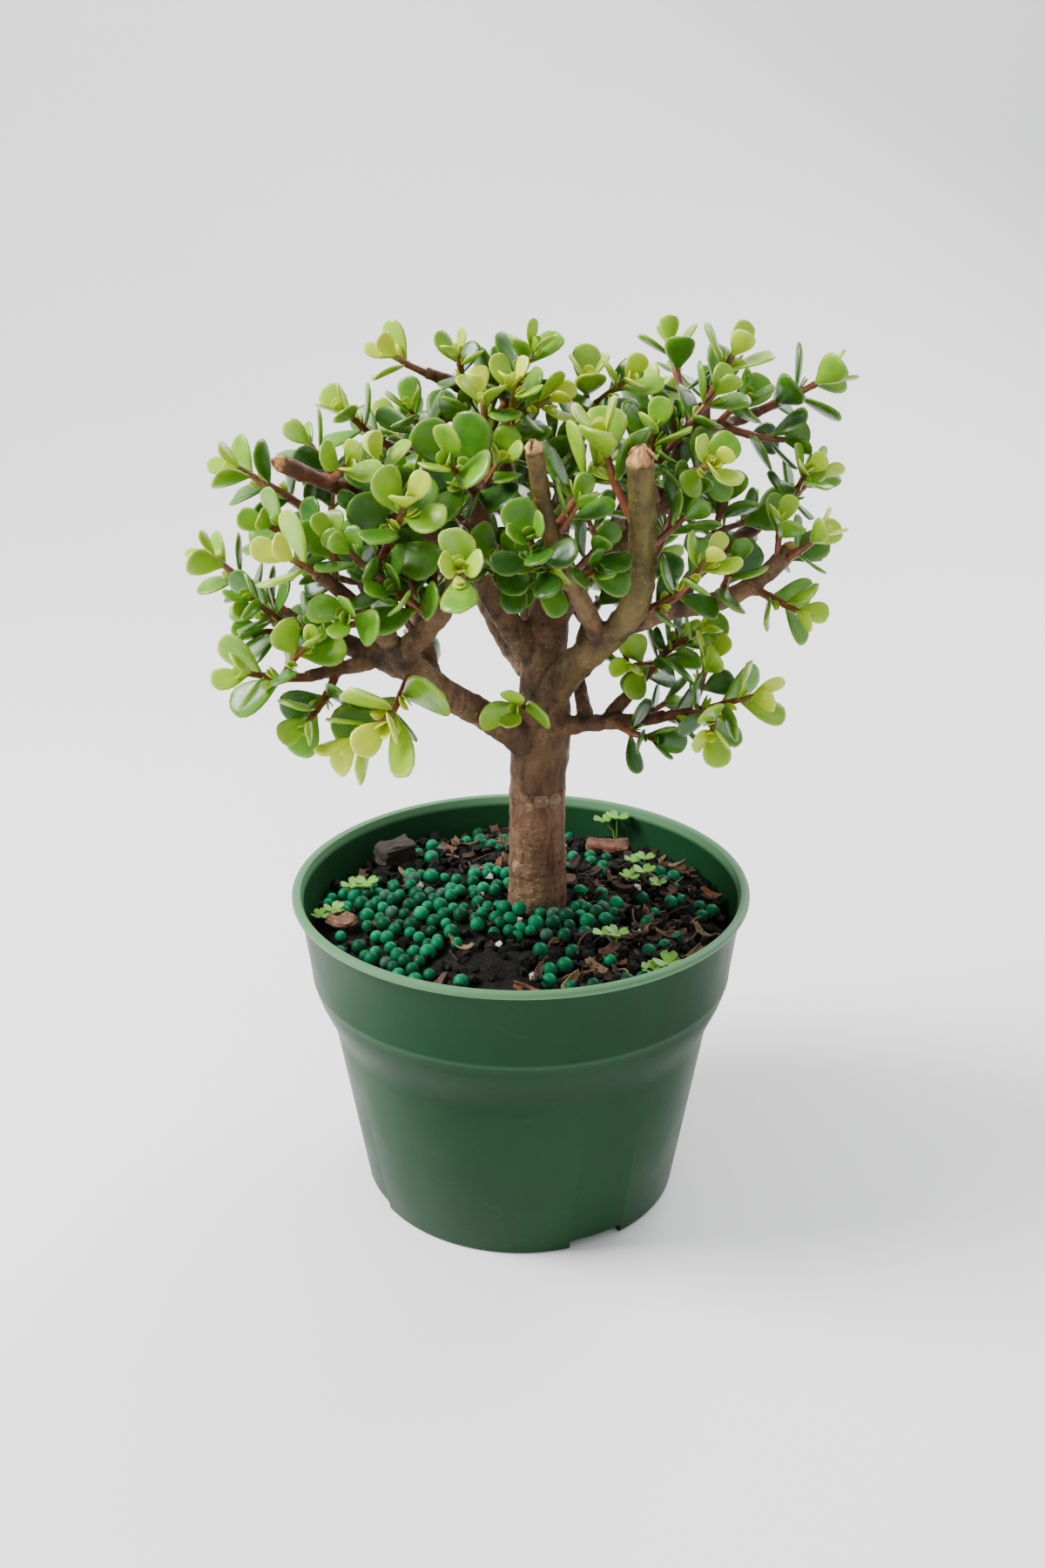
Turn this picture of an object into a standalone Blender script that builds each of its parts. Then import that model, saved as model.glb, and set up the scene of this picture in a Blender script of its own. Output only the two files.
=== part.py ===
"""Dwarf jade bonsai, Portulacaria afra, in a round plastic nursery pot.

Metres, +Z up. The origin is the middle of the pot's underside, and -Y is the side shown in the photograph.
Routes and tips are in millimetres. Each leafy shoot is one solid: a stem with its leaves in crossed pairs.
"""

import math
import random

import bmesh
import bpy
from mathutils import Matrix, Vector
from mathutils.bvhtree import BVHTree

MM = 0.001
GAP = 0.3  # mm, kept between touching pieces

# Pot: a six-inch azalea pot
POT_PROFILE = (  # outside, radius and height, mm
    (57.8, 0.0), (68.6, 66.0), (70.4, 72.6), (74.6, 82.5), (76.3, 88.4), (79.8, 116.4),
    (82.5, 117.4), (82.1, 119.6), (81.2, 120.0),
)
POT_INSIDE = (  # inside, from the rim down, mm
    (79.6, 120.0), (78.0, 116.0), (74.4, 88.8), (66.8, 66.4), (55.8, 2.4),
)
POT_SIDES = 32
NOTCH_BEARINGS = (28.0, 113.0, -157.0, -67.0)  # degrees, turned right from the front
NOTCH_WIDTH = 21.0
NOTCH_HEIGHT = 4.0
NOTCH_INNER_R = 53.0
NOTCH_OUTER_R = 66.0

# Potting mix
TRUNK_X = 6.0
TRUNK_SIDES = 10
STUMP_R = 10.8
SOIL_EDGE_Z = 105.5
SOIL_MOUND = 7.0
SOIL_SIDES = 26
SOIL_RINGS = (28.0, 48.0, 66.0)  # radii, mm
STUMP_DEPTH = 16.0  # how far the trunk stands in the mix
PRILL_R = 3.0
PRILL_COUNT = 20
PRILL_SEED = 11

# Leaves: obovate and fleshy
CANOPY_MIDDLE = Vector((4.0, 0.0, 215.0))  # leaves turn their upper sides away from it
LEAF_HALF_WIDTH = 0.38  # of the leaf's length, at its widest
LEAF_HALF_THICK = 1.05  # mm
LEAF_OUTLINE = ((0.02, 0.22), (0.54, 0.98), (0.93, 0.66))  # along the leaf, and share of its half width
PAIR_STEP = (4.2, 6.0, 7.5, 8.5, 9.0)  # mm between pairs of 16 mm leaves, from the tip down
PAIR_SIZE = (0.66, 0.90, 1.0, 1.0, 0.96, 0.90)  # share of full size, from the tip pair down
PAIR_OPEN = (34.0, 52.0, 64.0, 72.0, 78.0, 82.0)  # degrees from the stem, from the tip pair down
STEM_BASE_R = 1.75
STEM_TIP_R = 1.05
STUB_R = 2.1
STUB_PROUD = 1.6  # how far a stub stands out of its limb
STEM_SHIFTS = (  # tried in turn where a stem's way is not clear, mm
    (0, 0, 0), (0, 4, 2), (0, -4, 2), (4, 0, 2), (-4, 0, 2), (0, 0, 5), (0, 0, -5), (6, 6, 0), (-6, 6, 0),
    (6, -6, 0), (-6, -6, 0), (0, 9, 4), (0, -9, 4), (9, 0, 4), (-9, 0, 4), (0, 0, 10), (0, 0, -10),
)

# Trunk and limbs: name, points (x, y, z, radius) in mm. Each starts inside the one that carries it
LIMBS = (
    ("trunk", 10, ((6, 0, 96.5, 10.8), (6, 0, 114, 10.8), (6, 0, 124, 10.5), (6, 0, 158, 10.1), (7, 0, 174, 10.6),
                   (8, 0, 190, 9.4), (8, 1, 205, 8.2), (9, 3, 217, 7.4), (10, 6, 229, 6.2), (12, 10, 246, 4.8),
                   (16, 15, 262, 4.0), (20, 17, 276, 3.1))),
    ("left_limb", 8, ((5, -2, 173, 6.6), (-8, -12, 186, 5.4), (-20, -22, 197, 5.0), (-32, -33, 209, 5.2),
                      (-40, -40, 221, 4.8))),
    ("left_cut", 6, ((-39, -39, 218, 4.4), (-30, -45, 229, 3.9), (-23, -50, 239, 3.5), (-20, -54, 248, 3.2),
                     (-19, -57, 256, 3.3))),
    ("left_front", 6, ((-39, -39, 219, 3.8), (-45, -45, 230, 3.0), (-54, -51, 242, 2.5), (-62, -57, 251, 2.2))),
    ("left_low", 6, ((-36, -36, 213, 4.4), (-47, -36, 218, 3.9), (-58, -32, 221, 3.5), (-68, -28, 223, 2.7),
                     (-77, -24, 229, 2.3))),
    ("left_thin", 6, ((-44, -37, 217, 2.7), (-58, -41, 215, 2.3), (-68, -46, 214, 2.0))),
    ("left_rear", 6, ((-28, -29, 204, 3.6), (-31, -17, 212, 3.0), (-36, -4, 224, 2.8), (-42, 8, 238, 2.4))),
    ("left_high", 6, ((-40, -39, 219, 3.4), (-49, -27, 236, 2.7), (-57, -18, 249, 2.4), (-66, -15, 258, 2.1))),
    ("front_cut", 8, ((7, -2, 187, 6.4), (17, -12, 205, 5.6), (26, -22, 217, 5.2), (35, -31, 230, 5.0),
                      (38, -37, 243, 4.7), (38, -40, 257, 4.5), (37, -44, 272, 4.4), (36, -47, 283, 4.6))),
    ("middle_cut", 6, ((27, -23, 219, 3.8), (19, -34, 236, 3.1), (14, -40, 249, 3.0), (9, -46, 262, 2.9),
                       (6, -50, 275, 2.9), (4, -54, 288, 2.9))),
    ("right_limb", 6, ((34, -28, 226, 4.4), (49, -22, 229, 3.7), (62, -18, 230, 3.5), (72, -16, 233, 3.3),
                       (82, -14, 240, 3.1), (88, -12, 246, 3.1))),
    ("right_upper", 6, ((51, -22, 229, 3.1), (57, -9, 236, 2.9), (65, 0, 241, 2.8), (76, 6, 247, 2.6),
                        (84, 9, 252, 2.3))),
    ("rear_right", 6, ((10, 4, 222, 5.0), (27, 10, 236, 4.1), (40, 8, 248, 3.6), (47, 4, 258, 3.3),
                       (51, 2, 270, 3.0), (55, 2, 282, 2.8), (60, 1, 291, 2.4))),
    ("top_right", 6, ((55, 2, 281, 2.7), (64, 12, 282, 2.5), (72, 16, 283, 2.3), (80, 18, 286, 2.1))),
    ("back_right", 6, ((10, 5, 215, 5.0), (21, 22, 226, 4.2), (31, 36, 236, 3.5), (38, 46, 248, 2.9),
                       (42, 52, 258, 2.4))),
    ("low_right", 6, ((10, -3, 179, 4.0), (20, -6, 183, 3.2), (30, -9, 185, 3.0), (40, -13, 187, 2.6),
                      (49, -17, 190, 2.3))),
    ("low_right_rear", 6, ((29, -8, 185, 2.8), (34, -6, 190, 2.4), (40, -4, 196, 2.1))),
    ("right_riser", 6, ((23, -6, 184, 3.1), (21, 3, 191, 2.6), (20, 10, 202, 2.5), (25, 20, 215, 2.4))),
    ("back_left", 6, ((4, 4, 199, 5.2), (-6, 13, 210, 4.3), (-14, 24, 222, 3.8), (-24, 35, 236, 3.2),
                      (-32, 43, 250, 2.6))),
    ("mid_left_cut", 8, ((3, 0, 207, 5.2), (-6, -3, 222, 4.4), (-13, -8, 237, 4.0), (-14, -10, 254, 3.8),
                         (-12, -8, 266, 3.4), (-7, -6, 277, 3.2), (-5, -6, 284, 3.2))),
    ("mid_back", 6, ((5, 5, 214, 4.6), (1, 12, 231, 3.7), (-2, 15, 249, 3.5), (-4, 16, 264, 3.1),
                     (-10, 14, 279, 2.7), (-14, 10, 290, 2.5), (-22, 7, 297, 2.3), (-31, 4, 301, 2.0))),
    ("left_twig", 6, ((-4, 15, 262, 2.6), (-21, 15, 266, 2.3), (-36, 13, 271, 2.2), (-45, 9, 277, 2.0))),
    ("front_left_cut", 6, ((-14, -9, 241, 3.2), (-24, -17, 250, 2.9), (-35, -25, 258, 2.8), (-50, -33, 269, 2.8),
                           (-72, -50, 283, 2.7))),
)

# Leafy shoots: name, limb, share of the way along it, tip (x, y, z) in mm, pairs of leaves,
# full leaf length in mm, turn of the tip pair in degrees, lime share of its colour
SHOOTS = (
    # left side, front to back
    ("shoot_left_front_rosette", "left_front", 1.0, (-69, -62, 257), 3, 20.1, 20, 0.75),
    ("shoot_left_front_under", "left_front", 0.55, (-52, -66, 240), 3, 17.8, 70, 0.30),
    ("shoot_middle_left_rosette", "left_high", 0.45, (-34, -56, 272), 4, 19.0, 35, 0.55),
    ("shoot_left_drooping", "left_limb", 0.86, (-41, -68, 207), 3, 24.5, 30, 0.80),
    ("shoot_left_low_tip", "left_thin", 1.0, (-84, -60, 220), 3, 19.5, 50, 0.45),
    ("shoot_left_low_under", "left_thin", 0.62, (-66, -62, 205), 2, 17.8, 10, 0.35),
    ("shoot_left_far", "left_low", 1.0, (-100, -19, 246), 3, 15.5, 80, 0.60),
    ("shoot_left_far_under", "left_low", 0.60, (-84, -38, 232), 3, 16.1, 25, 0.25),
    ("shoot_left_upper_far", "left_high", 1.0, (-91, -14, 274), 4, 16.7, 60, 0.55),
    ("shoot_left_upper_mid", "left_high", 0.62, (-78, -42, 262), 4, 16.1, 10, 0.30),
    ("shoot_left_cut_leaf", "left_cut", 0.90, (-18, -70, 256), 2, 19.0, 0, 0.55),
    ("shoot_left_inner", "left_cut", 0.45, (-38, -58, 246), 3, 17.2, 60, 0.20),
    ("shoot_twig_base", "front_left_cut", 0.52, (-47, -40, 268), 2, 17.2, 15, 0.15),
    ("shoot_twig_side", "front_left_cut", 0.78, (-52, -52, 283), 2, 14.9, 60, 0.50),
    ("shoot_twig_back", "front_left_cut", 0.70, (-66, -26, 284), 2, 16.1, 20, 0.40),
    # top left and middle
    ("shoot_top_left", "mid_back", 1.0, (-41, 0, 307), 4, 16.1, 30, 0.75),
    ("shoot_top_left_mid", "mid_back", 0.88, (-20, -2, 308), 2, 13.8, 60, 0.60),
    ("shoot_top_middle", "mid_back", 0.70, (4, 7, 308), 4, 17.2, 80, 0.35),
    ("shoot_top_front", "mid_back", 0.60, (-2, -10, 300), 5, 15.5, 40, 0.85),
    ("shoot_left_twig", "left_twig", 1.0, (-58, 0, 290), 4, 15.5, 70, 0.60),
    ("shoot_left_twig_front", "left_twig", 0.60, (-36, 0, 290), 3, 16.1, 20, 0.35),
    ("shoot_middle_left", "mid_left_cut", 0.72, (-22, -36, 280), 3, 23.0, 75, 0.35),
    ("shoot_middle_top", "mid_left_cut", 0.90, (-12, -12, 298), 2, 13.8, 10, 0.90),
    ("shoot_middle_front", "mid_left_cut", 0.42, (-6, -36, 250), 3, 19.5, 50, 0.20),
    ("shoot_trunk_front", "trunk", 0.50, (-1, -23, 195), 2, 18.5, 90, 0.45),
    # right side
    ("shoot_centre_upright", "front_cut", 0.80, (25, -35, 288), 4, 21.8, 80, 0.55),
    ("shoot_centre_left", "middle_cut", 0.62, (24, -28, 278), 4, 21.8, 30, 0.50),
    ("shoot_centre_low", "middle_cut", 0.36, (4, -42, 249), 3, 18.4, 80, 0.15),
    ("shoot_centre_round", "trunk", 1.0, (22, 8, 298), 4, 18.4, 0, 0.60),
    ("shoot_middle_right", "rear_right", 0.60, (42, -16, 286), 5, 18.4, 60, 0.35),
    ("shoot_right_bud", "rear_right", 0.72, (60, -32, 279), 4, 14.4, 40, 0.90),
    ("shoot_top_right", "rear_right", 1.0, (68, -2, 308), 4, 18.4, 20, 0.55),
    ("shoot_top_right_back", "rear_right", 0.92, (49, 16, 309), 4, 14.9, 75, 0.50),
    ("shoot_far_top_right", "top_right", 1.0, (103, 20, 297), 4, 17.2, 65, 0.35),
    ("shoot_far_top_right_low", "top_right", 0.55, (88, 10, 278), 3, 17.2, 20, 0.15),
    ("shoot_right_mid", "front_cut", 0.52, (58, -44, 252), 4, 15.5, 35, 0.65),
    ("shoot_centre_fill", "front_cut", 0.66, (50, -27, 268), 3, 18.4, 20, 0.15),
    ("shoot_right_inner", "right_upper", 0.45, (66, -10, 262), 3, 18.4, 10, 0.15),
    ("shoot_right_upper", "right_upper", 1.0, (99, 11, 266), 4, 16.7, 45, 0.50),
    ("shoot_right_cut", "right_limb", 0.93, (97, -20, 254), 2, 14.4, 70, 0.75),
    ("shoot_right_under", "right_limb", 0.72, (90, -27, 230), 3, 16.1, 10, 0.45),
    ("shoot_right_limb_top", "right_limb", 0.55, (67, -30, 246), 3, 17.2, 50, 0.20),
    ("shoot_low_right_round", "low_right", 0.60, (44, -30, 187), 2, 16.7, 80, 0.05),
    ("shoot_low_right_tip", "low_right", 1.0, (76, -33, 203), 4, 18.4, 25, 0.60),
    ("shoot_low_right_upper", "low_right_rear", 1.0, (54, 2, 213), 4, 15.5, 30, 0.45),
    # rear, which the photograph hides
    ("shoot_rear_left", "left_rear", 1.0, (-52, 22, 256), 4, 17.8, 40, 0.35),
    ("shoot_back_left", "back_left", 1.0, (-44, 56, 274), 4, 19.0, 10, 0.45),
    ("shoot_back_left_low", "back_left", 0.55, (-38, 46, 226), 3, 18.4, 60, 0.30),
    ("shoot_back_middle", "mid_back", 0.35, (-4, 44, 268), 4, 19.0, 30, 0.35),
    ("shoot_back_right", "back_right", 1.0, (48, 68, 282), 4, 19.0, 70, 0.45),
    ("shoot_back_right_low", "back_right", 0.55, (50, 56, 228), 3, 18.4, 20, 0.30),
    ("shoot_right_riser", "right_riser", 1.0, (36, 40, 222), 3, 17.2, 50, 0.25),
)

# Side twigs of the shoots: shoot, share of the way along its stem, tip in mm, pairs, leaf length in mm, turn
TWIGS = (
    ("shoot_centre_low", 0.55, (3, -58, 262), 2, 18.0, 30),
    ("shoot_top_front", 0.55, (10, -6, 294), 2, 15.0, 10),
    ("shoot_centre_round", 0.45, (34, -4, 300), 2, 17.0, 60),
    ("shoot_right_inner", 0.40, (78, -2, 254), 2, 17.0, 70),
    ("shoot_middle_right", 0.45, (62, -10, 297), 2, 17.0, 20),
    ("shoot_left_far_under", 0.45, (-84, -46, 240), 2, 15.5, 60),
    ("shoot_left_inner", 0.50, (-52, -58, 258), 2, 16.0, 10),
    ("shoot_left_twig_front", 0.40, (-20, 2, 289), 3, 16.0, 80),
    ("shoot_middle_front", 0.50, (10, -38, 246), 2, 18.0, 20),
    ("shoot_middle_left_rosette", 0.45, (-44, -38, 282), 2, 16.0, 60),
    ("shoot_left_drooping", 0.60, (-52, -62, 199), 2, 22.0, 60),
    ("shoot_low_right_tip", 0.55, (62, -42, 194), 2, 16.5, 10),
    ("shoot_low_right_tip", 0.30, (62, -20, 212), 2, 16.0, 60),
    ("shoot_low_right_upper", 0.45, (38, -14, 207), 2, 15.5, 10),
    ("shoot_low_right_upper", 0.65, (60, -10, 218), 2, 15.0, 70),
    ("shoot_left_low_tip", 0.40, (-66, -58, 229), 2, 17.5, 40),
    ("shoot_right_upper", 0.40, (94, -2, 270), 2, 14.5, 20),
)

CHIPS = (  # name, x, y, turn in degrees, length, width, thickness, mm
    ("bark_chip_dark", -48.5, 38.5, 32.0, 17.0, 12.0, 9.0),
    ("bark_chip_red", 34.0, 50.0, -8.0, 19.0, 10.0, 4.0),
    ("bark_chip_left", -64.0, -12.0, -35.0, 13.0, 9.0, 4.5),
)
WEEDS = (  # name, x, y, height above the mix, leaflet length, mm, turn in degrees
    ("clover_right", 33.0, -35.0, 7.0, 4.6, 10.0),
    ("clover_left", -57.0, 10.0, 6.0, 5.0, 30.0),
)
WEED_STEM_R = 0.7


def clear_scene():
    for obj in list(bpy.data.objects):
        bpy.data.objects.remove(obj, do_unlink=True)


def material(name, color, roughness):
    mat = bpy.data.materials.new(name)
    mat.use_nodes = True
    shader = mat.node_tree.nodes["Principled BSDF"]
    shader.inputs["Base Color"].default_value = (*color, 1.0)
    shader.inputs["Roughness"].default_value = roughness
    shader.inputs["Metallic"].default_value = 0.0
    mat.diffuse_color = (*color, 1.0)
    return mat


def add_mesh(name, verts, faces, mat=None):
    mesh = bpy.data.meshes.new(name)
    mesh.from_pydata([tuple(v) for v in verts], [], faces)
    mesh.validate()
    bm = bmesh.new()
    bm.from_mesh(mesh)
    bmesh.ops.recalc_face_normals(bm, faces=bm.faces)
    bm.to_mesh(mesh)
    bm.free()
    obj = bpy.data.objects.new(name, mesh)
    bpy.context.collection.objects.link(obj)
    if mat is not None:
        mesh.materials.append(mat)
    return obj


def shade(obj, angle=50.0):
    for poly in obj.data.polygons:
        poly.use_smooth = True
    obj.data.set_sharp_from_angle(angle=math.radians(angle))


def boolean(obj, operation, others):
    """Apply one Boolean with every object in others, and remove them."""
    group = bpy.data.collections.new(obj.name + "_parts")
    bpy.context.scene.collection.children.link(group)
    for other in others:
        for owner in list(other.users_collection):
            owner.objects.unlink(other)
        group.objects.link(other)
    step = obj.modifiers.new("cut", "BOOLEAN")
    step.operation = operation
    step.operand_type = "COLLECTION"
    step.collection = group
    step.solver = "EXACT"
    depsgraph = bpy.context.evaluated_depsgraph_get()
    mesh = bpy.data.meshes.new_from_object(obj.evaluated_get(depsgraph))
    mats = list(obj.data.materials)
    obj.modifiers.clear()
    obj.data = mesh
    mesh.materials.clear()
    for mat in mats:
        mesh.materials.append(mat)
    for poly in mesh.polygons:
        poly.material_index = 0
    for other in list(group.objects):
        bpy.data.objects.remove(other, do_unlink=True)
    bpy.data.collections.remove(group)


def revolve(profile, sides):
    """Closed solid of revolution. Points with radius 0 are poles."""
    verts, rings, faces = [], [], []
    for r, z in profile:
        if r == 0.0:
            rings.append([len(verts)])
            verts.append(Vector((0.0, 0.0, z)) * MM)
        else:
            rings.append(list(range(len(verts), len(verts) + sides)))
            for k in range(sides):
                a = 2.0 * math.pi * k / sides
                verts.append(Vector((r * math.cos(a), r * math.sin(a), z)) * MM)
    for low, high in zip(rings, rings[1:]):
        for k in range(sides):
            n = (k + 1) % sides
            if len(low) == 1:
                faces.append((low[0], high[k], high[n]))
            elif len(high) == 1:
                faces.append((low[k], low[n], high[0]))
            else:
                faces.append((low[k], low[n], high[n], high[k]))
    return verts, faces


def tube(points, sides, flat_end=True, first=None):
    """Round tube in mm through (position, radius) pairs, with frames carried along it."""
    verts, faces = [], []
    count = len(points)
    spots = [Vector(p) for p, _ in points]
    along = []
    for i in range(count):
        a = spots[max(i - 1, 0)]
        b = spots[min(i + 1, count - 1)]
        along.append((b - a).normalized())
    if first is not None:
        along[0] = first
    side = along[0].orthogonal().normalized()
    for i, (_, r) in enumerate(points):
        side = (side - along[i] * side.dot(along[i])).normalized()
        up = along[i].cross(side)
        for k in range(sides):
            a = 2.0 * math.pi * k / sides
            verts.append((spots[i] + (side * math.cos(a) + up * math.sin(a)) * r) * MM)
    for i in range(count - 1):
        for k in range(sides):
            n = (k + 1) % sides
            faces.append((i * sides + k, i * sides + n, (i + 1) * sides + n, (i + 1) * sides + k))
    faces.append(tuple(reversed(range(sides))))
    if flat_end:
        faces.append(tuple((count - 1) * sides + k for k in range(sides)))
    else:
        verts.append((spots[-1] + along[-1] * points[-1][1] * 1.3) * MM)
        for k in range(sides):
            faces.append(((count - 1) * sides + k, (count - 1) * sides + (k + 1) % sides, len(verts) - 1))
    return verts, faces


def limb_at(points, share):
    """Position, direction and radius at a share of a limb's length, mm."""
    spots = [Vector(p[:3]) for p in points]
    lengths = [(b - a).length for a, b in zip(spots, spots[1:])]
    left = share * sum(lengths)
    for i, length in enumerate(lengths):
        if left <= length or i == len(lengths) - 1:
            t = min(left / length, 1.0)
            r = points[i][3] * (1.0 - t) + points[i + 1][3] * t
            return spots[i].lerp(spots[i + 1], t), (spots[i + 1] - spots[i]).normalized(), r
        left -= length


class Crowd:
    """Keeps what already stands, to test new pieces against."""

    def __init__(self):
        self.trees = []

    def add(self, verts, faces):
        lows = [min(v[i] for v in verts) for i in range(3)]
        highs = [max(v[i] for v in verts) for i in range(3)]
        self.trees.append((lows, highs, BVHTree.FromPolygons([tuple(v) for v in verts], faces)))

    def hits(self, verts, faces, skip=-1):
        lows = [min(v[i] for v in verts) for i in range(3)]
        highs = [max(v[i] for v in verts) for i in range(3)]
        tree = None
        for number, (low, high, other) in enumerate(self.trees):
            if number == skip or any(lows[i] > high[i] or highs[i] < low[i] for i in range(3)):
                continue
            if tree is None:
                tree = BVHTree.FromPolygons([tuple(v) for v in verts], faces)
            if tree.overlap(other):
                return True
        return False


def leaf_mesh(root, aim, face, length, grow=0.0):
    """Thick obovate leaf in mm: root on the stem's axis, aim along it, face its upper side."""
    across = aim.cross(face).normalized()
    up = across.cross(aim).normalized()
    half = LEAF_HALF_WIDTH * length
    thick = LEAF_HALF_THICK + grow
    outline = [(s, w) for s, w in LEAF_OUTLINE] + [(s, -w) for s, w in reversed(LEAF_OUTLINE)]
    verts = []
    for s, w in outline:
        reach = s * length + (grow if s > 0.5 else 0.0)
        wide = w * half + math.copysign(grow, w)
        verts.append(root + aim * reach + across * wide + up * (0.10 * length * s * s + 0.16 * abs(w) * half))
    middle = root + aim * (0.55 * length) + up * (0.03 * length)
    verts += [middle + up * (thick + 0.04 * half), middle - up * thick]
    count = len(outline)
    faces = []
    for k in range(count):
        n = (k + 1) % count
        faces += [(k, n, count), (n, k, count + 1)]
    return [v * MM for v in verts], faces


def shoot_route(start, heading, tip):
    """Quadratic curve from a stub to the tip: leaves along the heading and rises at the end."""
    span = (tip - start).length
    mid = start + heading * (span * 0.40) + Vector((0.0, 0.0, -0.04 * span))
    mid = mid.lerp((start + tip) / 2.0, 0.45)
    steps = 2
    out = []
    for i in range(steps + 1):
        t = i / steps
        out.append(start * (1 - t) ** 2 + mid * (2 * t * (1 - t)) + tip * t * t)
    return out


def along_route(route, back):
    """Point and direction at a distance back from the tip of a route."""
    left = back
    for i in range(len(route) - 1, 0, -1):
        length = (route[i] - route[i - 1]).length
        if left <= length or i == 1:
            return route[i].lerp(route[i - 1], min(left / length, 1.0)), (route[i] - route[i - 1]).normalized()
        left -= length


def place_leaf(point, along, bearing, opening, length, crowd, own, own_stem):
    """Find a clear pose for one leaf near its pair's bearing. Returns verts and faces, or None."""
    side = along.orthogonal().normalized()
    if abs(along.z) < 0.98:
        side = along.cross(Vector((0.0, 0.0, 1.0))).normalized()
    for size in (1.0, 0.86, 0.72):
        for pitch in (0.0, -14.0, 14.0, -28.0, 24.0):
            for swing in (0.0, 16.0, -16.0, 32.0, -32.0, 48.0, -48.0):
                around = Matrix.Rotation(math.radians(bearing + swing), 3, along)
                out = around @ side
                lean = math.radians(min(max(opening + pitch, 12.0), 100.0))
                aim = (along * math.cos(lean) + out * math.sin(lean)).normalized()
                face = (along * math.sin(lean) - out * math.cos(lean)) + (point - CANOPY_MIDDLE).normalized() * 0.9
                root = point + out * 0.35
                whole = leaf_mesh(root, aim, face, length * size, GAP)
                blade = leaf_mesh(root + aim * 2.2, aim, face, length * size - 2.2, GAP)
                if crowd.hits(*whole, skip=own_stem) or own.hits(*blade):
                    continue
                return leaf_mesh(root, aim, face, length * size), blade
    return None


def make_stem(row, limbs, crowd):
    """Stub, stem and side twigs of one shoot."""
    name, limb, share, tip, pairs, leaf, turn, lime = row
    spot, heading, radius = limb_at(limbs[limb], share)
    stub = None
    if share < 1.0:
        toward = (Vector(tip) - spot).normalized()
        flat = toward - heading * toward.dot(heading)
        heading = (flat.normalized() + heading * max(min(toward.dot(heading), 0.5), -0.2)).normalized()
        stub_end = spot + heading * (radius + STUB_PROUD)
        stub = tube([(spot, STUB_R), (stub_end, STUB_R)], 5)
        start = stub_end + heading * GAP
    else:
        start = spot + heading * GAP
    base_r = min(STEM_BASE_R, 1.1 + (Vector(tip) - start).length * 0.022)
    main = clear_stem(start, heading, tip, base_r, crowd, heading)
    branches = [(*main, pairs, leaf, turn)]
    for parent, at, twig_tip, twig_pairs, twig_leaf, twig_turn in TWIGS:
        if parent == name:
            foot, way = along_route(main[1], main[2] * (1.0 - at))
            way = ((Vector(twig_tip) - foot).normalized() + way * 0.3).normalized()
            twig = clear_stem(foot, way, twig_tip, STEM_TIP_R * 1.15, crowd, None, main[3])
            branches.append((*twig, twig_pairs, twig_leaf, twig_turn))
    return stub, branches


def clear_stem(start, heading, tip, base_r, crowd, first, skip=-1):
    """Stem from start to tip, its tip moved a little aside until it is clear. Adds it to the crowd."""
    for shift in STEM_SHIFTS:
        route = shoot_route(start, heading, Vector(tip) + Vector(shift))
        span = sum((b - a).length for a, b in zip(route, route[1:]))
        last = len(route) - 1
        points = [(p, base_r + (STEM_TIP_R - base_r) * i / last) for i, p in enumerate(route)]
        stem = tube(points, 5, flat_end=False, first=first)
        if not crowd.hits(*stem, skip=skip):
            break
    else:
        print("stem is not clear:", tip)
    crowd.add(*stem)
    return stem, route, span, len(crowd.trees) - 1


def make_leaves(branches, crowd):
    """Pairs of leaves from each tip down, each pair a quarter turn from the last."""
    pieces, own = [], Crowd()
    for stem, route, span, own_stem, pairs, leaf, turn in branches:
        back, bearing = 1.0, turn
        for k in range(pairs):
            if back > span - 1.5:
                break
            point, along = along_route(route, back)
            size = leaf * PAIR_SIZE[min(k, len(PAIR_SIZE) - 1)]
            opening = PAIR_OPEN[min(k, len(PAIR_OPEN) - 1)]
            for half in (0.0, 180.0):
                found = place_leaf(point, along, bearing + half, opening, size, crowd, own, own_stem)
                if found is not None:
                    pieces.append(found[0])
                    own.add(*found[1])
            back += leaf / 16.0 * PAIR_STEP[min(k, len(PAIR_STEP) - 1)]
            bearing += 90.0
    for piece in pieces:
        crowd.add(*piece)
    return pieces


def leaf_color(lime):
    old, young = Vector((0.060, 0.165, 0.035)), Vector((0.330, 0.470, 0.070))
    return tuple(old.lerp(young, lime))


def soil_height(r, a):
    """Top of the potting mix in mm at a radius and bearing: a low mound with coarse lumps."""
    mound = SOIL_EDGE_Z + SOIL_MOUND * (1.0 - (r / 75.0) ** 1.6)
    lumps = math.sin(r * 0.31 + 2.0 * math.sin(a * 3.0)) * math.cos(a * 7.0 + r * 0.11)
    return mound + 0.9 * lumps


def soil_inner_radius(z):
    """Inside radius of the pot at a height, mm."""
    for (r1, z1), (r2, z2) in zip(POT_INSIDE, POT_INSIDE[1:]):
        if z1 >= z >= z2:
            return r1 + (r2 - r1) * (z1 - z) / (z1 - z2)
    return POT_INSIDE[-1][0]


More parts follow.
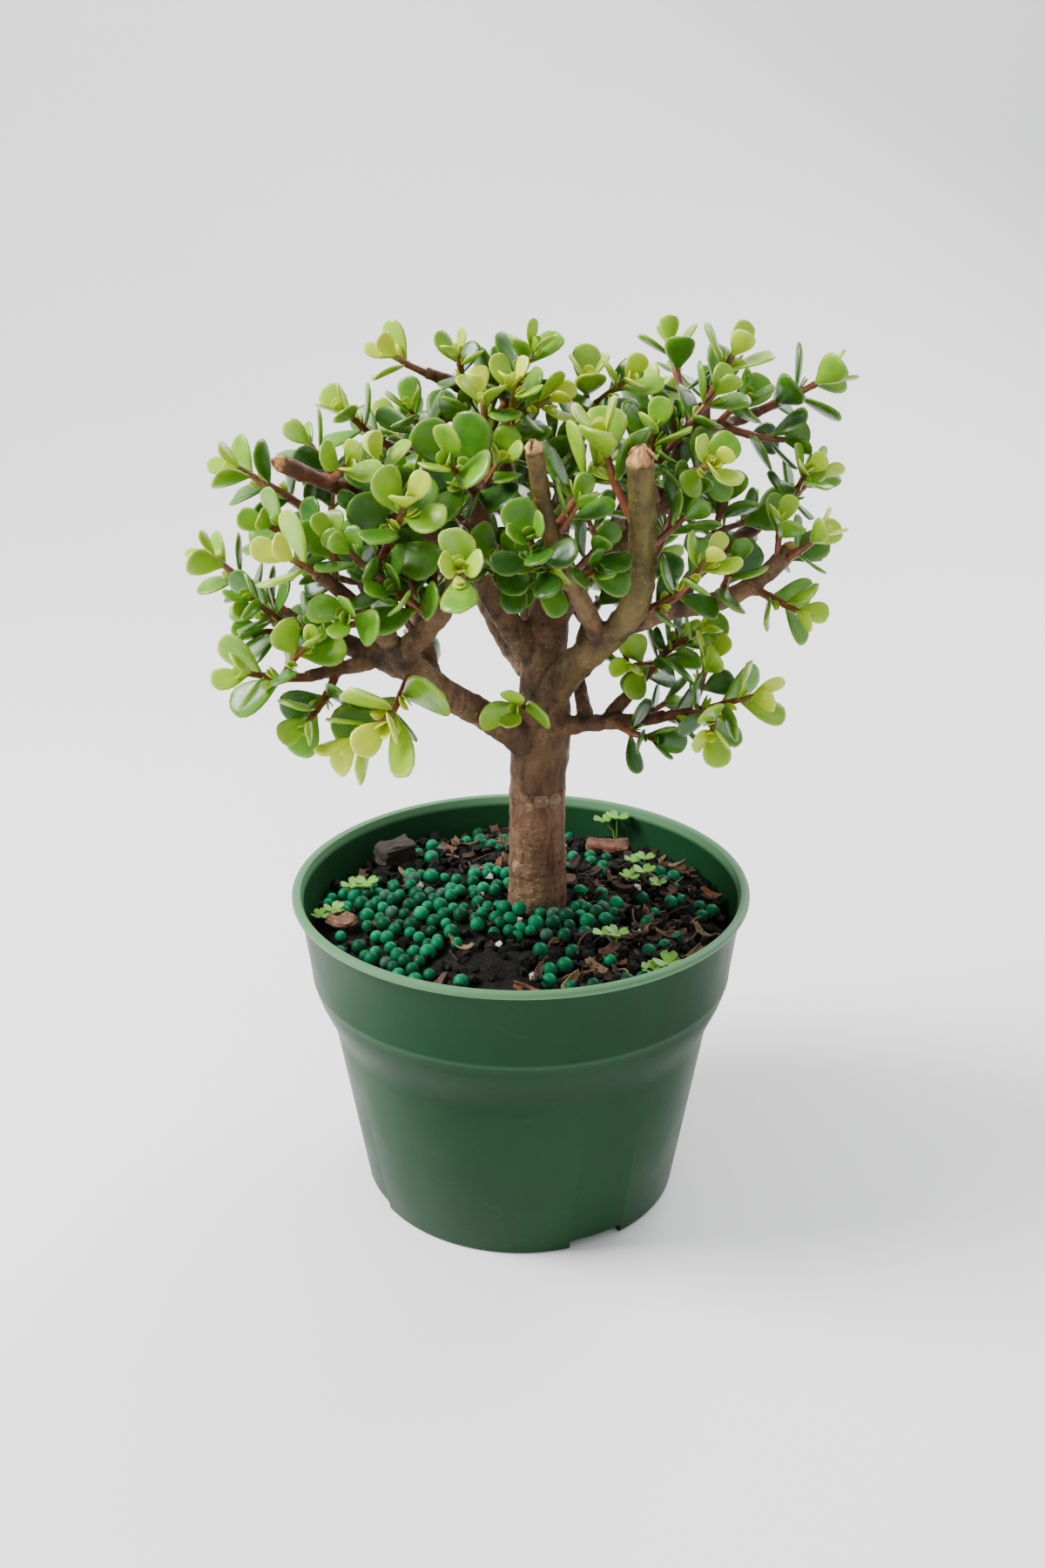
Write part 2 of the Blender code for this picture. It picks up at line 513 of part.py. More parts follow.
def build_pot(mat):
    profile = [(0.0, 0.0)] + list(POT_PROFILE) + list(POT_INSIDE) + [(0.0, POT_INSIDE[-1][1])]
    pot = add_mesh("pot", *revolve(profile, POT_SIDES), mat)
    cutters = []
    for bearing in NOTCH_BEARINGS:
        a = math.radians(bearing)
        out = Vector((math.sin(a), -math.cos(a), 0.0))
        side = Vector((math.cos(a), math.sin(a), 0.0))
        verts = []
        for r in (NOTCH_INNER_R, NOTCH_OUTER_R):
            for w in (-NOTCH_WIDTH / 2.0, NOTCH_WIDTH / 2.0):
                for z in (-2.0, NOTCH_HEIGHT):
                    verts.append((out * r + side * w + Vector((0.0, 0.0, z))) * MM)
        faces = [(0, 1, 3, 2), (4, 6, 7, 5), (0, 4, 5, 1), (2, 3, 7, 6), (0, 2, 6, 4), (1, 5, 7, 3)]
        cutters.append(add_mesh("notch_cutter", verts, faces))
    boolean(pot, "DIFFERENCE", cutters)
    shade(pot, 35.0)
    return pot


def build_soil(mat, weeds):
    sides = SOIL_SIDES
    hole_r = (STUMP_R + GAP) / math.cos(math.pi / TRUNK_SIDES)
    verts, faces = [], []

    def ring(r, z_of):
        first = len(verts)
        for k in range(sides):
            a = 2.0 * math.pi * k / sides
            verts.append(Vector((r * math.cos(a), r * math.sin(a), z_of(r, a))) * MM)
        return list(range(first, first + sides))

    floor_z = POT_INSIDE[-1][1] + GAP
    flats = math.cos(math.pi / POT_SIDES)
    rings = []
    for r, z in ((POT_INSIDE[-1][0], floor_z), (soil_inner_radius(66.4), 66.4), (soil_inner_radius(88.8), 88.8),
                 (soil_inner_radius(SOIL_EDGE_Z - 2.0), SOIL_EDGE_Z - 2.0)):
        rings.append(ring((r - 0.25) * flats - GAP, lambda _r, _a, z=z: z))
    for r in reversed(SOIL_RINGS):
        rings.append(ring(r, soil_height))
    rings.append(ring(14.0, soil_height))
    for low, high in zip(rings, rings[1:]):
        for k in range(sides):
            n = (k + 1) % sides
            faces.append((low[k], low[n], high[n], high[k]))
    faces.append(tuple(reversed(rings[0])))
    faces.append(tuple(rings[-1]))
    soil = add_mesh("soil", verts, faces, mat)
    bm = bmesh.new()
    bm.from_mesh(soil.data)
    bmesh.ops.triangulate(bm, faces=[f for f in bm.faces if len(f.verts) > 4])
    bm.to_mesh(soil.data)
    bm.free()

    prills = []
    draw = random.Random(PRILL_SEED)
    spots = []
    while len(spots) < PRILL_COUNT:
        a = math.radians(draw.uniform(0.0, 360.0))
        r = 15.0 + 54.0 * math.sqrt(draw.random())
        x, y = r * math.cos(a), r * math.sin(a)
        if draw.random() > (0.95 if x < 12.0 and y < 30.0 else 0.30):
            continue
        if any((x - px) ** 2 + (y - py) ** 2 < (PRILL_R * 2.3) ** 2 for px, py in spots):
            continue
        if math.hypot(x - TRUNK_X, y) < STUMP_R + PRILL_R + 1.5:
            continue
        if any(math.hypot(x - c[1], y - c[2]) < 0.62 * c[4] + PRILL_R for c in CHIPS):
            continue
        if any(math.hypot(x - w[1], y - w[2]) < 8.5 for w in WEEDS):
            continue
        spots.append((x, y))
        z = soil_height(r, a) + 0.5
        ball, ball_faces = [], []
        for lift, share in ((-0.75, 0.66), (0.0, 1.0), (0.66, 0.75)):
            for k in range(6):
                b = math.radians(60.0 * k + 20.0 * len(spots))
                ball.append(Vector((x + PRILL_R * share * math.cos(b), y + PRILL_R * share * math.sin(b),
                                    z + PRILL_R * lift)) * MM)
        ball.append(Vector((x, y, z + PRILL_R)) * MM)
        for low in (0, 6):
            for k in range(6):
                n = (k + 1) % 6
                ball_faces.append((low + k, low + n, low + 6 + n, low + 6 + k))
        ball_faces.append((5, 4, 3, 2, 1, 0))
        for k in range(6):
            ball_faces.append((12 + k, 12 + (k + 1) % 6, 18))
        prills.append(add_mesh("prill", ball, ball_faces))
    boolean(soil, "UNION", prills)

    cutters = []
    hole = tube([((TRUNK_X, 0.0, SOIL_EDGE_Z - STUMP_DEPTH + 7.0 - GAP), hole_r), ((TRUNK_X, 0.0, 130.0), hole_r)],
                TRUNK_SIDES)
    cutters.append(add_mesh("stump_cutter", *hole))
    for name, x, y, height, leaf, turn in WEEDS:
        z = soil_height(math.hypot(x, y), math.atan2(y, x))
        pit = tube([((x, y, z - 5.0 - GAP), WEED_STEM_R + 0.35), ((x, y, z + 8.0), WEED_STEM_R + 0.35)], 6)
        cutters.append(add_mesh("weed_cutter", *pit))
    boolean(soil, "DIFFERENCE", cutters)
    shade(soil, 60.0)
    return soil


def build_chip(row, soil, mat):
    """A broken slab of bark lying on the mix."""
    name, x, y, turn, length, width, thick = row
    a = math.radians(turn)
    across, over = Vector((math.cos(a), math.sin(a), 0.0)), Vector((-math.sin(a), math.cos(a), 0.0))
    ground = BVHTree.FromPolygons([v.co.copy() for v in soil.data.vertices],
                                  [tuple(f.vertices) for f in soil.data.polygons])
    top = 0.0
    for i in range(17):
        for j in range(13):
            spot = Vector((x, y, 150.0)) + across * (length * (i / 16.0 - 0.5) * 1.06)
            spot += over * (width * (j / 12.0 - 0.5) * 1.06)
            hit = ground.ray_cast(spot * MM, Vector((0.0, 0.0, -1.0)))[0]
            if hit is not None:
                top = max(top, hit.z / MM)
    outline = ((-0.50, -0.22), (-0.38, -0.50), (0.05, -0.44), (0.42, -0.50), (0.50, -0.05), (0.36, 0.42),
               (-0.08, 0.50), (-0.44, 0.36))
    verts, faces = [], []
    for level, shrink in ((0.0, 0.86), (0.45, 1.0), (1.0, 0.78)):
        for k, (u, v) in enumerate(outline):
            ripple = 0.0 if level == 0.0 else 0.14 * thick * math.sin(2.4 * k + x)
            spot = Vector((x, y, top + GAP + thick * level + ripple))
            verts.append((spot + across * (u * length * shrink) + over * (v * width * shrink)) * MM)
    count = len(outline)
    for low in (0, count):
        for k in range(count):
            n = (k + 1) % count
            faces.append((low + k, low + n, low + count + n, low + count + k))
    faces.append(tuple(reversed(range(count))))
    faces.append(tuple(range(2 * count, 3 * count)))
    chip = add_mesh(name, verts, faces, mat)
    shade(chip, 30.0)
    return chip


def build_weed(row, crowd, mat):
    """A seedling with leaflets in threes on thin stalks."""
    name, x, y, height, leaf, turn = row
    z = soil_height(math.hypot(x, y), math.atan2(y, x))
    foot = Vector((x, y, z - 5.0))
    crown = Vector((x, y, z + height))
    pieces = [tube([(foot, WEED_STEM_R), (crown, WEED_STEM_R * 0.9)], 5)]
    for k in range(3):
        a = math.radians(turn + 120.0 * k)
        out = Vector((math.cos(a), math.sin(a), 0.30)).normalized()
        root = crown - Vector((0.0, 0.0, 0.9 + 0.13 * k))
        pieces.append(flat_leaflet(root + out * 0.1, out, leaf * (1.0 - 0.04 * k)))
    for piece in pieces:
        if crowd.hits(*piece):
            print("weed touches something:", name)
    weed = add_mesh(name, *pieces[0], mat)
    boolean(weed, "UNION", [add_mesh("part", *p) for p in pieces[1:]])
    shade(weed, 40.0)
    return weed


def flat_leaflet(root, out, length):
    across = out.cross(Vector((0.0, 0.0, 1.0))).normalized()
    up = across.cross(out).normalized()
    verts, faces = [], []
    for level in (-0.4, 0.4):
        for s, w in ((0.02, 0.14), (0.70, 0.54), (1.0, 0.22), (1.0, -0.22), (0.70, -0.54), (0.02, -0.14)):
            verts.append((root + out * (s * length) + across * (w * length) + up * level) * MM)
    for k in range(6):
        n = (k + 1) % 6
        faces.append((k, n, 6 + n, 6 + k))
    faces.append((5, 4, 3, 2, 1, 0))
    faces.append((6, 7, 8, 9, 10, 11))
    return verts, faces


def build():
    clear_scene()
    pot_mat = material("pot_green", (0.055, 0.150, 0.070), 0.38)
    soil_mat = material("potting_mix", (0.018, 0.030, 0.022), 0.85)
    bark_mat = material("bark", (0.150, 0.085, 0.050), 0.75)
    chip_mat = material("chip_bark", (0.110, 0.050, 0.030), 0.85)
    weed_mat = material("clover_green", (0.200, 0.380, 0.080), 0.55)
    limbs = {name: points for name, _, points in LIMBS}

    build_pot(pot_mat)
    soil = build_soil(soil_mat, WEEDS)
    for row in CHIPS:
        build_chip(row, soil, chip_mat)

    crowd = Crowd()
    solids = []
    for name, sides, points in LIMBS:
        solids.append(tube([(Vector(p[:3]), p[3]) for p in points], sides))
        crowd.add(*solids[-1])
    stems = [make_stem(row, limbs, crowd) for row in SHOOTS]
    for stub, _ in stems:
        if stub is not None:
            solids.append(stub)
            crowd.add(*stub)
    for row in WEEDS:
        build_weed(row, crowd, weed_mat)

    wood = add_mesh("trunk_and_limbs", *solids[0], bark_mat)
    boolean(wood, "UNION", [add_mesh("limb", *s) for s in solids[1:]])
    shade(wood, 50.0)

    for row, (_, branches) in zip(SHOOTS, stems):
        leaves = make_leaves(branches, crowd)
        shoot = add_mesh(row[0], *branches[0][0], material(row[0] + "_green", leaf_color(row[7]), 0.32))
        parts = [branch[0] for branch in branches[1:]] + leaves
        boolean(shoot, "UNION", [add_mesh("part", *piece) for piece in parts])
        shade(shoot, 40.0)


build()
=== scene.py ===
"""Dwarf jade bonsai in a nursery pot, dressed for its picture. Metres, +Z up, camera on the -Y side."""

import math
import random

import bmesh
import bpy
import numpy as np
from mathutils import Matrix, Vector, kdtree, noise
from mathutils.bvhtree import BVHTree


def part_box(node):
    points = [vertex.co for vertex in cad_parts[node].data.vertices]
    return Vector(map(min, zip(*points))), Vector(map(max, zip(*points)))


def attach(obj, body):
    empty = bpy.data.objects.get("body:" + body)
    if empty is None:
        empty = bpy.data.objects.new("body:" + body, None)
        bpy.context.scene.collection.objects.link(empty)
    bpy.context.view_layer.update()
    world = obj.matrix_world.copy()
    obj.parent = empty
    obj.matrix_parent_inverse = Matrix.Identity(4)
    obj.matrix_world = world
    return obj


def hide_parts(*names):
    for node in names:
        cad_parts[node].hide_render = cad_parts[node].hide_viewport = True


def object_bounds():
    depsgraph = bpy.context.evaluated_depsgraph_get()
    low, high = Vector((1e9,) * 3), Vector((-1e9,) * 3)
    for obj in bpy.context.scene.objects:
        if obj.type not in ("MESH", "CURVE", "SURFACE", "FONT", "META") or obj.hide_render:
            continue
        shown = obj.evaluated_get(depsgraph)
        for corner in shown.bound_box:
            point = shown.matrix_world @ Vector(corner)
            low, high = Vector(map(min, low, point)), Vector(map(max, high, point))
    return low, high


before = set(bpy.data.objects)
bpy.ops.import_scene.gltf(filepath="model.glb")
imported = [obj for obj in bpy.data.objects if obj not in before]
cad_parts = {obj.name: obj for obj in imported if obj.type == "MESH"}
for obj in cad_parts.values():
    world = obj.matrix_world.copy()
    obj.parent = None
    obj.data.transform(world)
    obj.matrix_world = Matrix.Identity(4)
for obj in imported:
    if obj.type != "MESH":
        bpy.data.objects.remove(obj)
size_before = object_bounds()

MM = 0.001

# Camera, floor and light
camera_data = bpy.data.cameras.new("camera")
camera_data.lens = 40.0
camera_data.sensor_width = 36.0
camera = bpy.data.objects.new("camera", camera_data)
bpy.context.scene.collection.objects.link(camera)
camera.location = (0.0006, -0.569, 0.395)
camera.rotation_euler = (math.radians(67.4), 0.0, 0.0)
bpy.context.scene.camera = camera

LIGHTS = (  # name, place, aim, size, power
    ("key", (-0.95, -0.10, 1.05), (0.0, 0.0, 0.2), 0.6, 43.0),
    ("fill", (1.0, -0.8, 0.75), (0.0, 0.0, 0.2), 1.1, 2.2),
    ("back", (0.60, 0.80, 0.90), (0.0, 0.0, 0.2), 0.8, 14.0),
)
for name, place, aim, size, power in LIGHTS:
    light = bpy.data.lights.new(name, "AREA")
    light.size = size
    light.energy = power
    lamp = bpy.data.objects.new(name, light)
    lamp.location = place
    lamp.rotation_euler = (Vector(aim) - Vector(place)).to_track_quat("-Z", "Y").to_euler()
    bpy.context.scene.collection.objects.link(lamp)
world = bpy.data.worlds.new("studio")
bpy.context.scene.world = world
world.use_nodes = True
world.node_tree.nodes["Background"].inputs["Color"].default_value = (0.93, 0.95, 1.0, 1.0)
world.node_tree.nodes["Background"].inputs["Strength"].default_value = 0.76

# Pot, mm: outside from the foot up over the lip, then inside from the rim down
POT_OUTSIDE = (
    (56.9, 0.0), (57.6, 0.3), (58.1, 1.1), (68.55, 65.2), (68.9, 67.4), (69.7, 70.2), (70.9, 73.4),
    (72.6, 77.2),
    (74.4, 81.4), (75.6, 85.0), (76.0, 87.2), (76.45, 88.0), (76.55, 89.0), (76.45, 90.0), (79.75, 115.4),
    (80.0, 116.4), (80.9, 117.0), (82.0, 117.5), (82.45, 118.2), (82.5, 118.9), (82.2, 119.6), (81.6, 119.95),
)
POT_INSIDE = (
    (80.2, 120.0), (79.4, 119.6), (79.0, 118.6), (78.0, 115.6), (74.4, 88.8), (66.8, 66.4), (55.8, 2.4),
)
POT_SIDES = 128
NOTCH_BEARINGS = (28.0, 113.0, -157.0, -67.0)  # degrees, turned right from the front
NOTCH_SIZE = (21.0, 13.0, 6.0)  # along the wall, through it, height with the part below the foot
NOTCH_R = 59.5

# Potting mix, mm
TRUNK_X = 6.0
SOIL_EDGE_Z = 105.5
SOIL_MOUND = 7.0
SOIL_EDGE_R = 75.9
SOIL_RINGS = 26
SOIL_RING_STEP = 0.0028
BEADS_TRIED = 215
CLUMP = (-13.0, -44.0, 21.0, 15.0)  # a heap of bare dark mix: middle and half widths
BEAD_DRIFTS = (  # where the fertiliser beads lie: middle, half widths, how thick
    (-40.0, 3.0, 28.0, 20.0, 1.0), (-42.0, -38.0, 21.0, 16.0, 0.8), (-64.0, -2.0, 11.0, 18.0, 0.7),
    (0.0, -17.0, 26.0, 12.0, 1.0), (25.0, -10.0, 11.0, 10.0, 0.8), (-13.0, 13.0, 10.0, 13.0, 0.8),
    (27.0, 42.0, 11.0, 7.0, 0.7), (-24.0, 50.0, 18.0, 8.0, 0.06), (54.0, -6.0, 16.0, 34.0, 0.05),
    (30.0, -52.0, 22.0, 10.0, 0.08), (0.0, 62.0, 30.0, 7.0, 0.08),
)

# Leaves and stems, mm and degrees, grown as the solids are
CANOPY_MIDDLE = Vector((4.0, 0.0, 215.0))
LEAF_HALF_WIDTH = 0.38
LEAF_HALF_THICK = 1.05
LEAF_OUTLINE = ((0.02, 0.22), (0.54, 0.98), (0.93, 0.66))
PAIR_STEP = (4.2, 6.0, 7.5, 8.5, 9.0)
PAIR_SIZE = (0.66, 0.90, 1.0, 1.0, 0.96, 0.90)
PAIR_OPEN = (34.0, 52.0, 64.0, 72.0, 78.0, 82.0)
GAP = 0.3
LEAF_FIT = 0.98  # length of a modelled leaf against its place
LEAF_LEAST = 0.62  # how far a leaf may shrink to clear another shoot
MODEL_HALF_WIDTH = 0.335  # half width of a modelled leaf against its length
MODEL_OUTLINE = (  # share of the length, share of the half width
    (0.0, 0.0), (0.07, 0.17), (0.19, 0.36), (0.34, 0.66), (0.50, 0.89), (0.66, 1.0), (0.80, 0.97),
    (0.905, 0.80), (0.972, 0.48), (0.998, 0.16), (1.0, 0.0),
)
MODEL_THICK = 0.058
MODEL_THICK_ENDS = 0.034
MODEL_GROOVE = 0.010
AGE_AT_BASE = 4  # how old the leaves down a bare stem look, in pairs from the tip
LEAF_AGE = (1.20, 1.00, 0.58, 0.27, 0.12, 0.05)  # share of the lime tone, from the tip down
SPRIG_LIMBS = (  # limbs that carry short side sprigs: name, sprigs, share where they begin
    ("left_front", 2, 0.25), ("left_low", 2, 0.45), ("left_thin", 1, 0.35), ("left_rear", 3, 0.20),
    ("left_high", 4, 0.25), ("left_cut", 3, 0.25), ("middle_cut", 3, 0.30), ("front_cut", 1, 0.60),
    ("right_limb", 2, 0.45), ("right_upper", 2, 0.30), ("rear_right", 4, 0.30), ("top_right", 2, 0.20),
    ("back_right", 4, 0.45), ("low_right", 1, 0.60), ("low_right_rear", 1, 0.50), ("right_riser", 1, 0.60),
    ("back_left", 4, 0.45), ("mid_left_cut", 6, 0.30), ("mid_back", 8, 0.25), ("left_twig", 4, 0.20),
    ("front_left_cut", 2, 0.10), ("trunk", 4, 0.78),
)
SPRIG_TRIES = 40
SPRIG_ROOM = ((-100.0, 96.0), (-64.0, 62.0), (190.0, 300.0))  # where their tips may lie, mm
STEM_BASE_R = 1.75
STEM_TIP_R = 1.05
STUB_R = 2.1
STUB_PROUD = 1.6
LIMB_RING_STEP = 9.0  # between the swollen rings of a limb
WOOD_VOXEL = 0.0007
CREVICE_DEPTH = 0.45  # how far the skin sinks where limbs meet
STEM_SHIFTS = (
    (0, 0, 0), (0, 4, 2), (0, -4, 2), (4, 0, 2), (-4, 0, 2), (0, 0, 5), (0, 0, -5), (6, 6, 0), (-6, 6, 0),
    (6, -6, 0), (-6, -6, 0), (0, 9, 4), (0, -9, 4), (9, 0, 4), (-9, 0, 4), (0, 0, 10), (0, 0, -10),
)

# Trunk and limbs: name, sides, points (x, y, z, radius) in mm
LIMBS = (
    ("trunk", 10, ((6, 0, 96.5, 10.8), (6, 0, 114, 10.8), (6, 0, 124, 10.5), (6, 0, 158, 10.1),
                   (7, 0, 174, 10.6),
                   (8, 0, 190, 9.4), (8, 1, 205, 8.2), (9, 3, 217, 7.4), (10, 6, 229, 6.2),
                   (12, 10, 246, 4.8),
                   (16, 15, 262, 4.0), (20, 17, 276, 3.1))),
    ("left_limb", 8, ((5, -2, 173, 6.6), (-8, -12, 186, 5.4), (-20, -22, 197, 5.0), (-32, -33, 209, 5.2),
                      (-40, -40, 221, 4.8))),
    ("left_cut", 6, ((-39, -39, 218, 4.4), (-30, -45, 229, 3.9), (-23, -50, 239, 3.5), (-20, -54, 248, 3.2),
                     (-19, -57, 256, 3.3))),
    ("left_front", 6, ((-39, -39, 219, 3.8), (-45, -45, 230, 3.0), (-54, -51, 242, 2.5),
                       (-62, -57, 251, 2.2))),
    ("left_low", 6, ((-36, -36, 213, 4.4), (-47, -36, 218, 3.9), (-58, -32, 221, 3.5), (-68, -28, 223, 2.7),
                     (-77, -24, 229, 2.3))),
    ("left_thin", 6, ((-44, -37, 217, 2.7), (-58, -41, 215, 2.3), (-68, -46, 214, 2.0))),
    ("left_rear", 6, ((-28, -29, 204, 3.6), (-31, -17, 212, 3.0), (-36, -4, 224, 2.8), (-42, 8, 238, 2.4))),
    ("left_high", 6, ((-40, -39, 219, 3.4), (-49, -27, 236, 2.7), (-57, -18, 249, 2.4),
                      (-66, -15, 258, 2.1))),
    ("front_cut", 8, ((7, -2, 187, 6.4), (17, -12, 205, 5.6), (26, -22, 217, 5.2), (35, -31, 230, 5.0),
                      (38, -37, 243, 4.7), (38, -40, 257, 4.5), (37, -44, 272, 4.4), (36, -47, 283, 4.6))),
    ("middle_cut", 6, ((27, -23, 219, 3.8), (19, -34, 236, 3.1), (14, -40, 249, 3.0), (9, -46, 262, 2.9),
                       (6, -50, 275, 2.9), (4, -54, 288, 2.9))),
    ("right_limb", 6, ((34, -28, 226, 4.4), (49, -22, 229, 3.7), (62, -18, 230, 3.5), (72, -16, 233, 3.3),
                       (82, -14, 240, 3.1), (88, -12, 246, 3.1))),
    ("right_upper", 6, ((51, -22, 229, 3.1), (57, -9, 236, 2.9), (65, 0, 241, 2.8), (76, 6, 247, 2.6),
                        (84, 9, 252, 2.3))),
    ("rear_right", 6, ((10, 4, 222, 5.0), (27, 10, 236, 4.1), (40, 8, 248, 3.6), (47, 4, 258, 3.3),
                       (51, 2, 270, 3.0), (55, 2, 282, 2.8), (60, 1, 291, 2.4))),
    ("top_right", 6, ((55, 2, 281, 2.7), (64, 12, 282, 2.5), (72, 16, 283, 2.3), (80, 18, 286, 2.1))),
    ("back_right", 6, ((10, 5, 215, 5.0), (21, 22, 226, 4.2), (31, 36, 236, 3.5), (38, 46, 248, 2.9),
                       (42, 52, 258, 2.4))),
    ("low_right", 6, ((10, -3, 179, 4.0), (20, -6, 183, 3.2), (30, -9, 185, 3.0), (40, -13, 187, 2.6),
                      (49, -17, 190, 2.3))),
    ("low_right_rear", 6, ((29, -8, 185, 2.8), (34, -6, 190, 2.4), (40, -4, 196, 2.1))),
    ("right_riser", 6, ((23, -6, 184, 3.1), (21, 3, 191, 2.6), (20, 10, 202, 2.5), (25, 20, 215, 2.4))),
    ("back_left", 6, ((4, 4, 199, 5.2), (-6, 13, 210, 4.3), (-14, 24, 222, 3.8), (-24, 35, 236, 3.2),
                      (-32, 43, 250, 2.6))),
    ("mid_left_cut", 8, ((3, 0, 207, 5.2), (-6, -3, 222, 4.4), (-13, -8, 237, 4.0), (-14, -10, 254, 3.8),
                         (-12, -8, 266, 3.4), (-7, -6, 277, 3.2), (-5, -6, 284, 3.2))),
    ("mid_back", 6, ((5, 5, 214, 4.6), (1, 12, 231, 3.7), (-2, 15, 249, 3.5), (-4, 16, 264, 3.1),
                     (-10, 14, 279, 2.7), (-14, 10, 290, 2.5), (-22, 7, 297, 2.3), (-31, 4, 301, 2.0))),
    ("left_twig", 6, ((-4, 15, 262, 2.6), (-21, 15, 266, 2.3), (-36, 13, 271, 2.2), (-45, 9, 277, 2.0))),
    ("front_left_cut", 6, ((-14, -9, 241, 3.2), (-24, -17, 250, 2.9), (-35, -25, 258, 2.8),
                           (-50, -33, 269, 2.8),
                           (-72, -50, 283, 2.7))),
)

# How each limb looks along its length: bark, and the share of green or red skin at its end
LIMB_SKIN = {
    "front_cut": (0.85, 0.0), "middle_cut": (1.0, 0.35), "front_left_cut": (0.0, 1.0),
    "left_twig": (0.0, 0.9),
    "mid_back": (0.0, 0.8), "top_right": (0.0, 0.7), "rear_right": (0.0, 0.7), "left_front": (0.1, 0.5),
    "left_high": (0.0, 0.6), "right_upper": (0.0, 0.5), "low_right": (0.0, 0.5), "left_thin": (0.0, 0.3),
    "low_right_rear": (0.0, 0.5), "trunk": (0.0, 0.4), "mid_left_cut": (0.0, 0.45), "back_left": (0.0, 0.4),
    "back_right": (0.0, 0.4), "right_riser": (0.0, 0.4), "left_rear": (0.0, 0.4), "left_low": (0.0, 0.35),
    "right_limb": (0.0, 0.25), "left_cut": (0.1, 0.2), "left_limb": (0.0, 0.0),
}
SCARS = (  # pale scars on the trunk: x, y, z, radius, how far they stand out, mm
    (7.3, -10.2, 155.4, 2.4, 0.7), (12.6, -8.0, 154.6, 2.8, 1.0), (15.6, -3.6, 155.2, 1.7, 0.6),
    (3.0, -9.8, 153.4, 1.6, 0.4), (-1.2, -7.4, 128.4, 3.0, 1.0),
)
RIDGES = ((155.8, 1.6, 0.30), (127.6, 0.9, 0.35), (140.0, 0.8, 0.12))  # trunk rings: z, half width, rise
CUT_ENDS = ("front_cut", "middle_cut", "left_cut", "mid_left_cut", "right_limb", "front_left_cut")

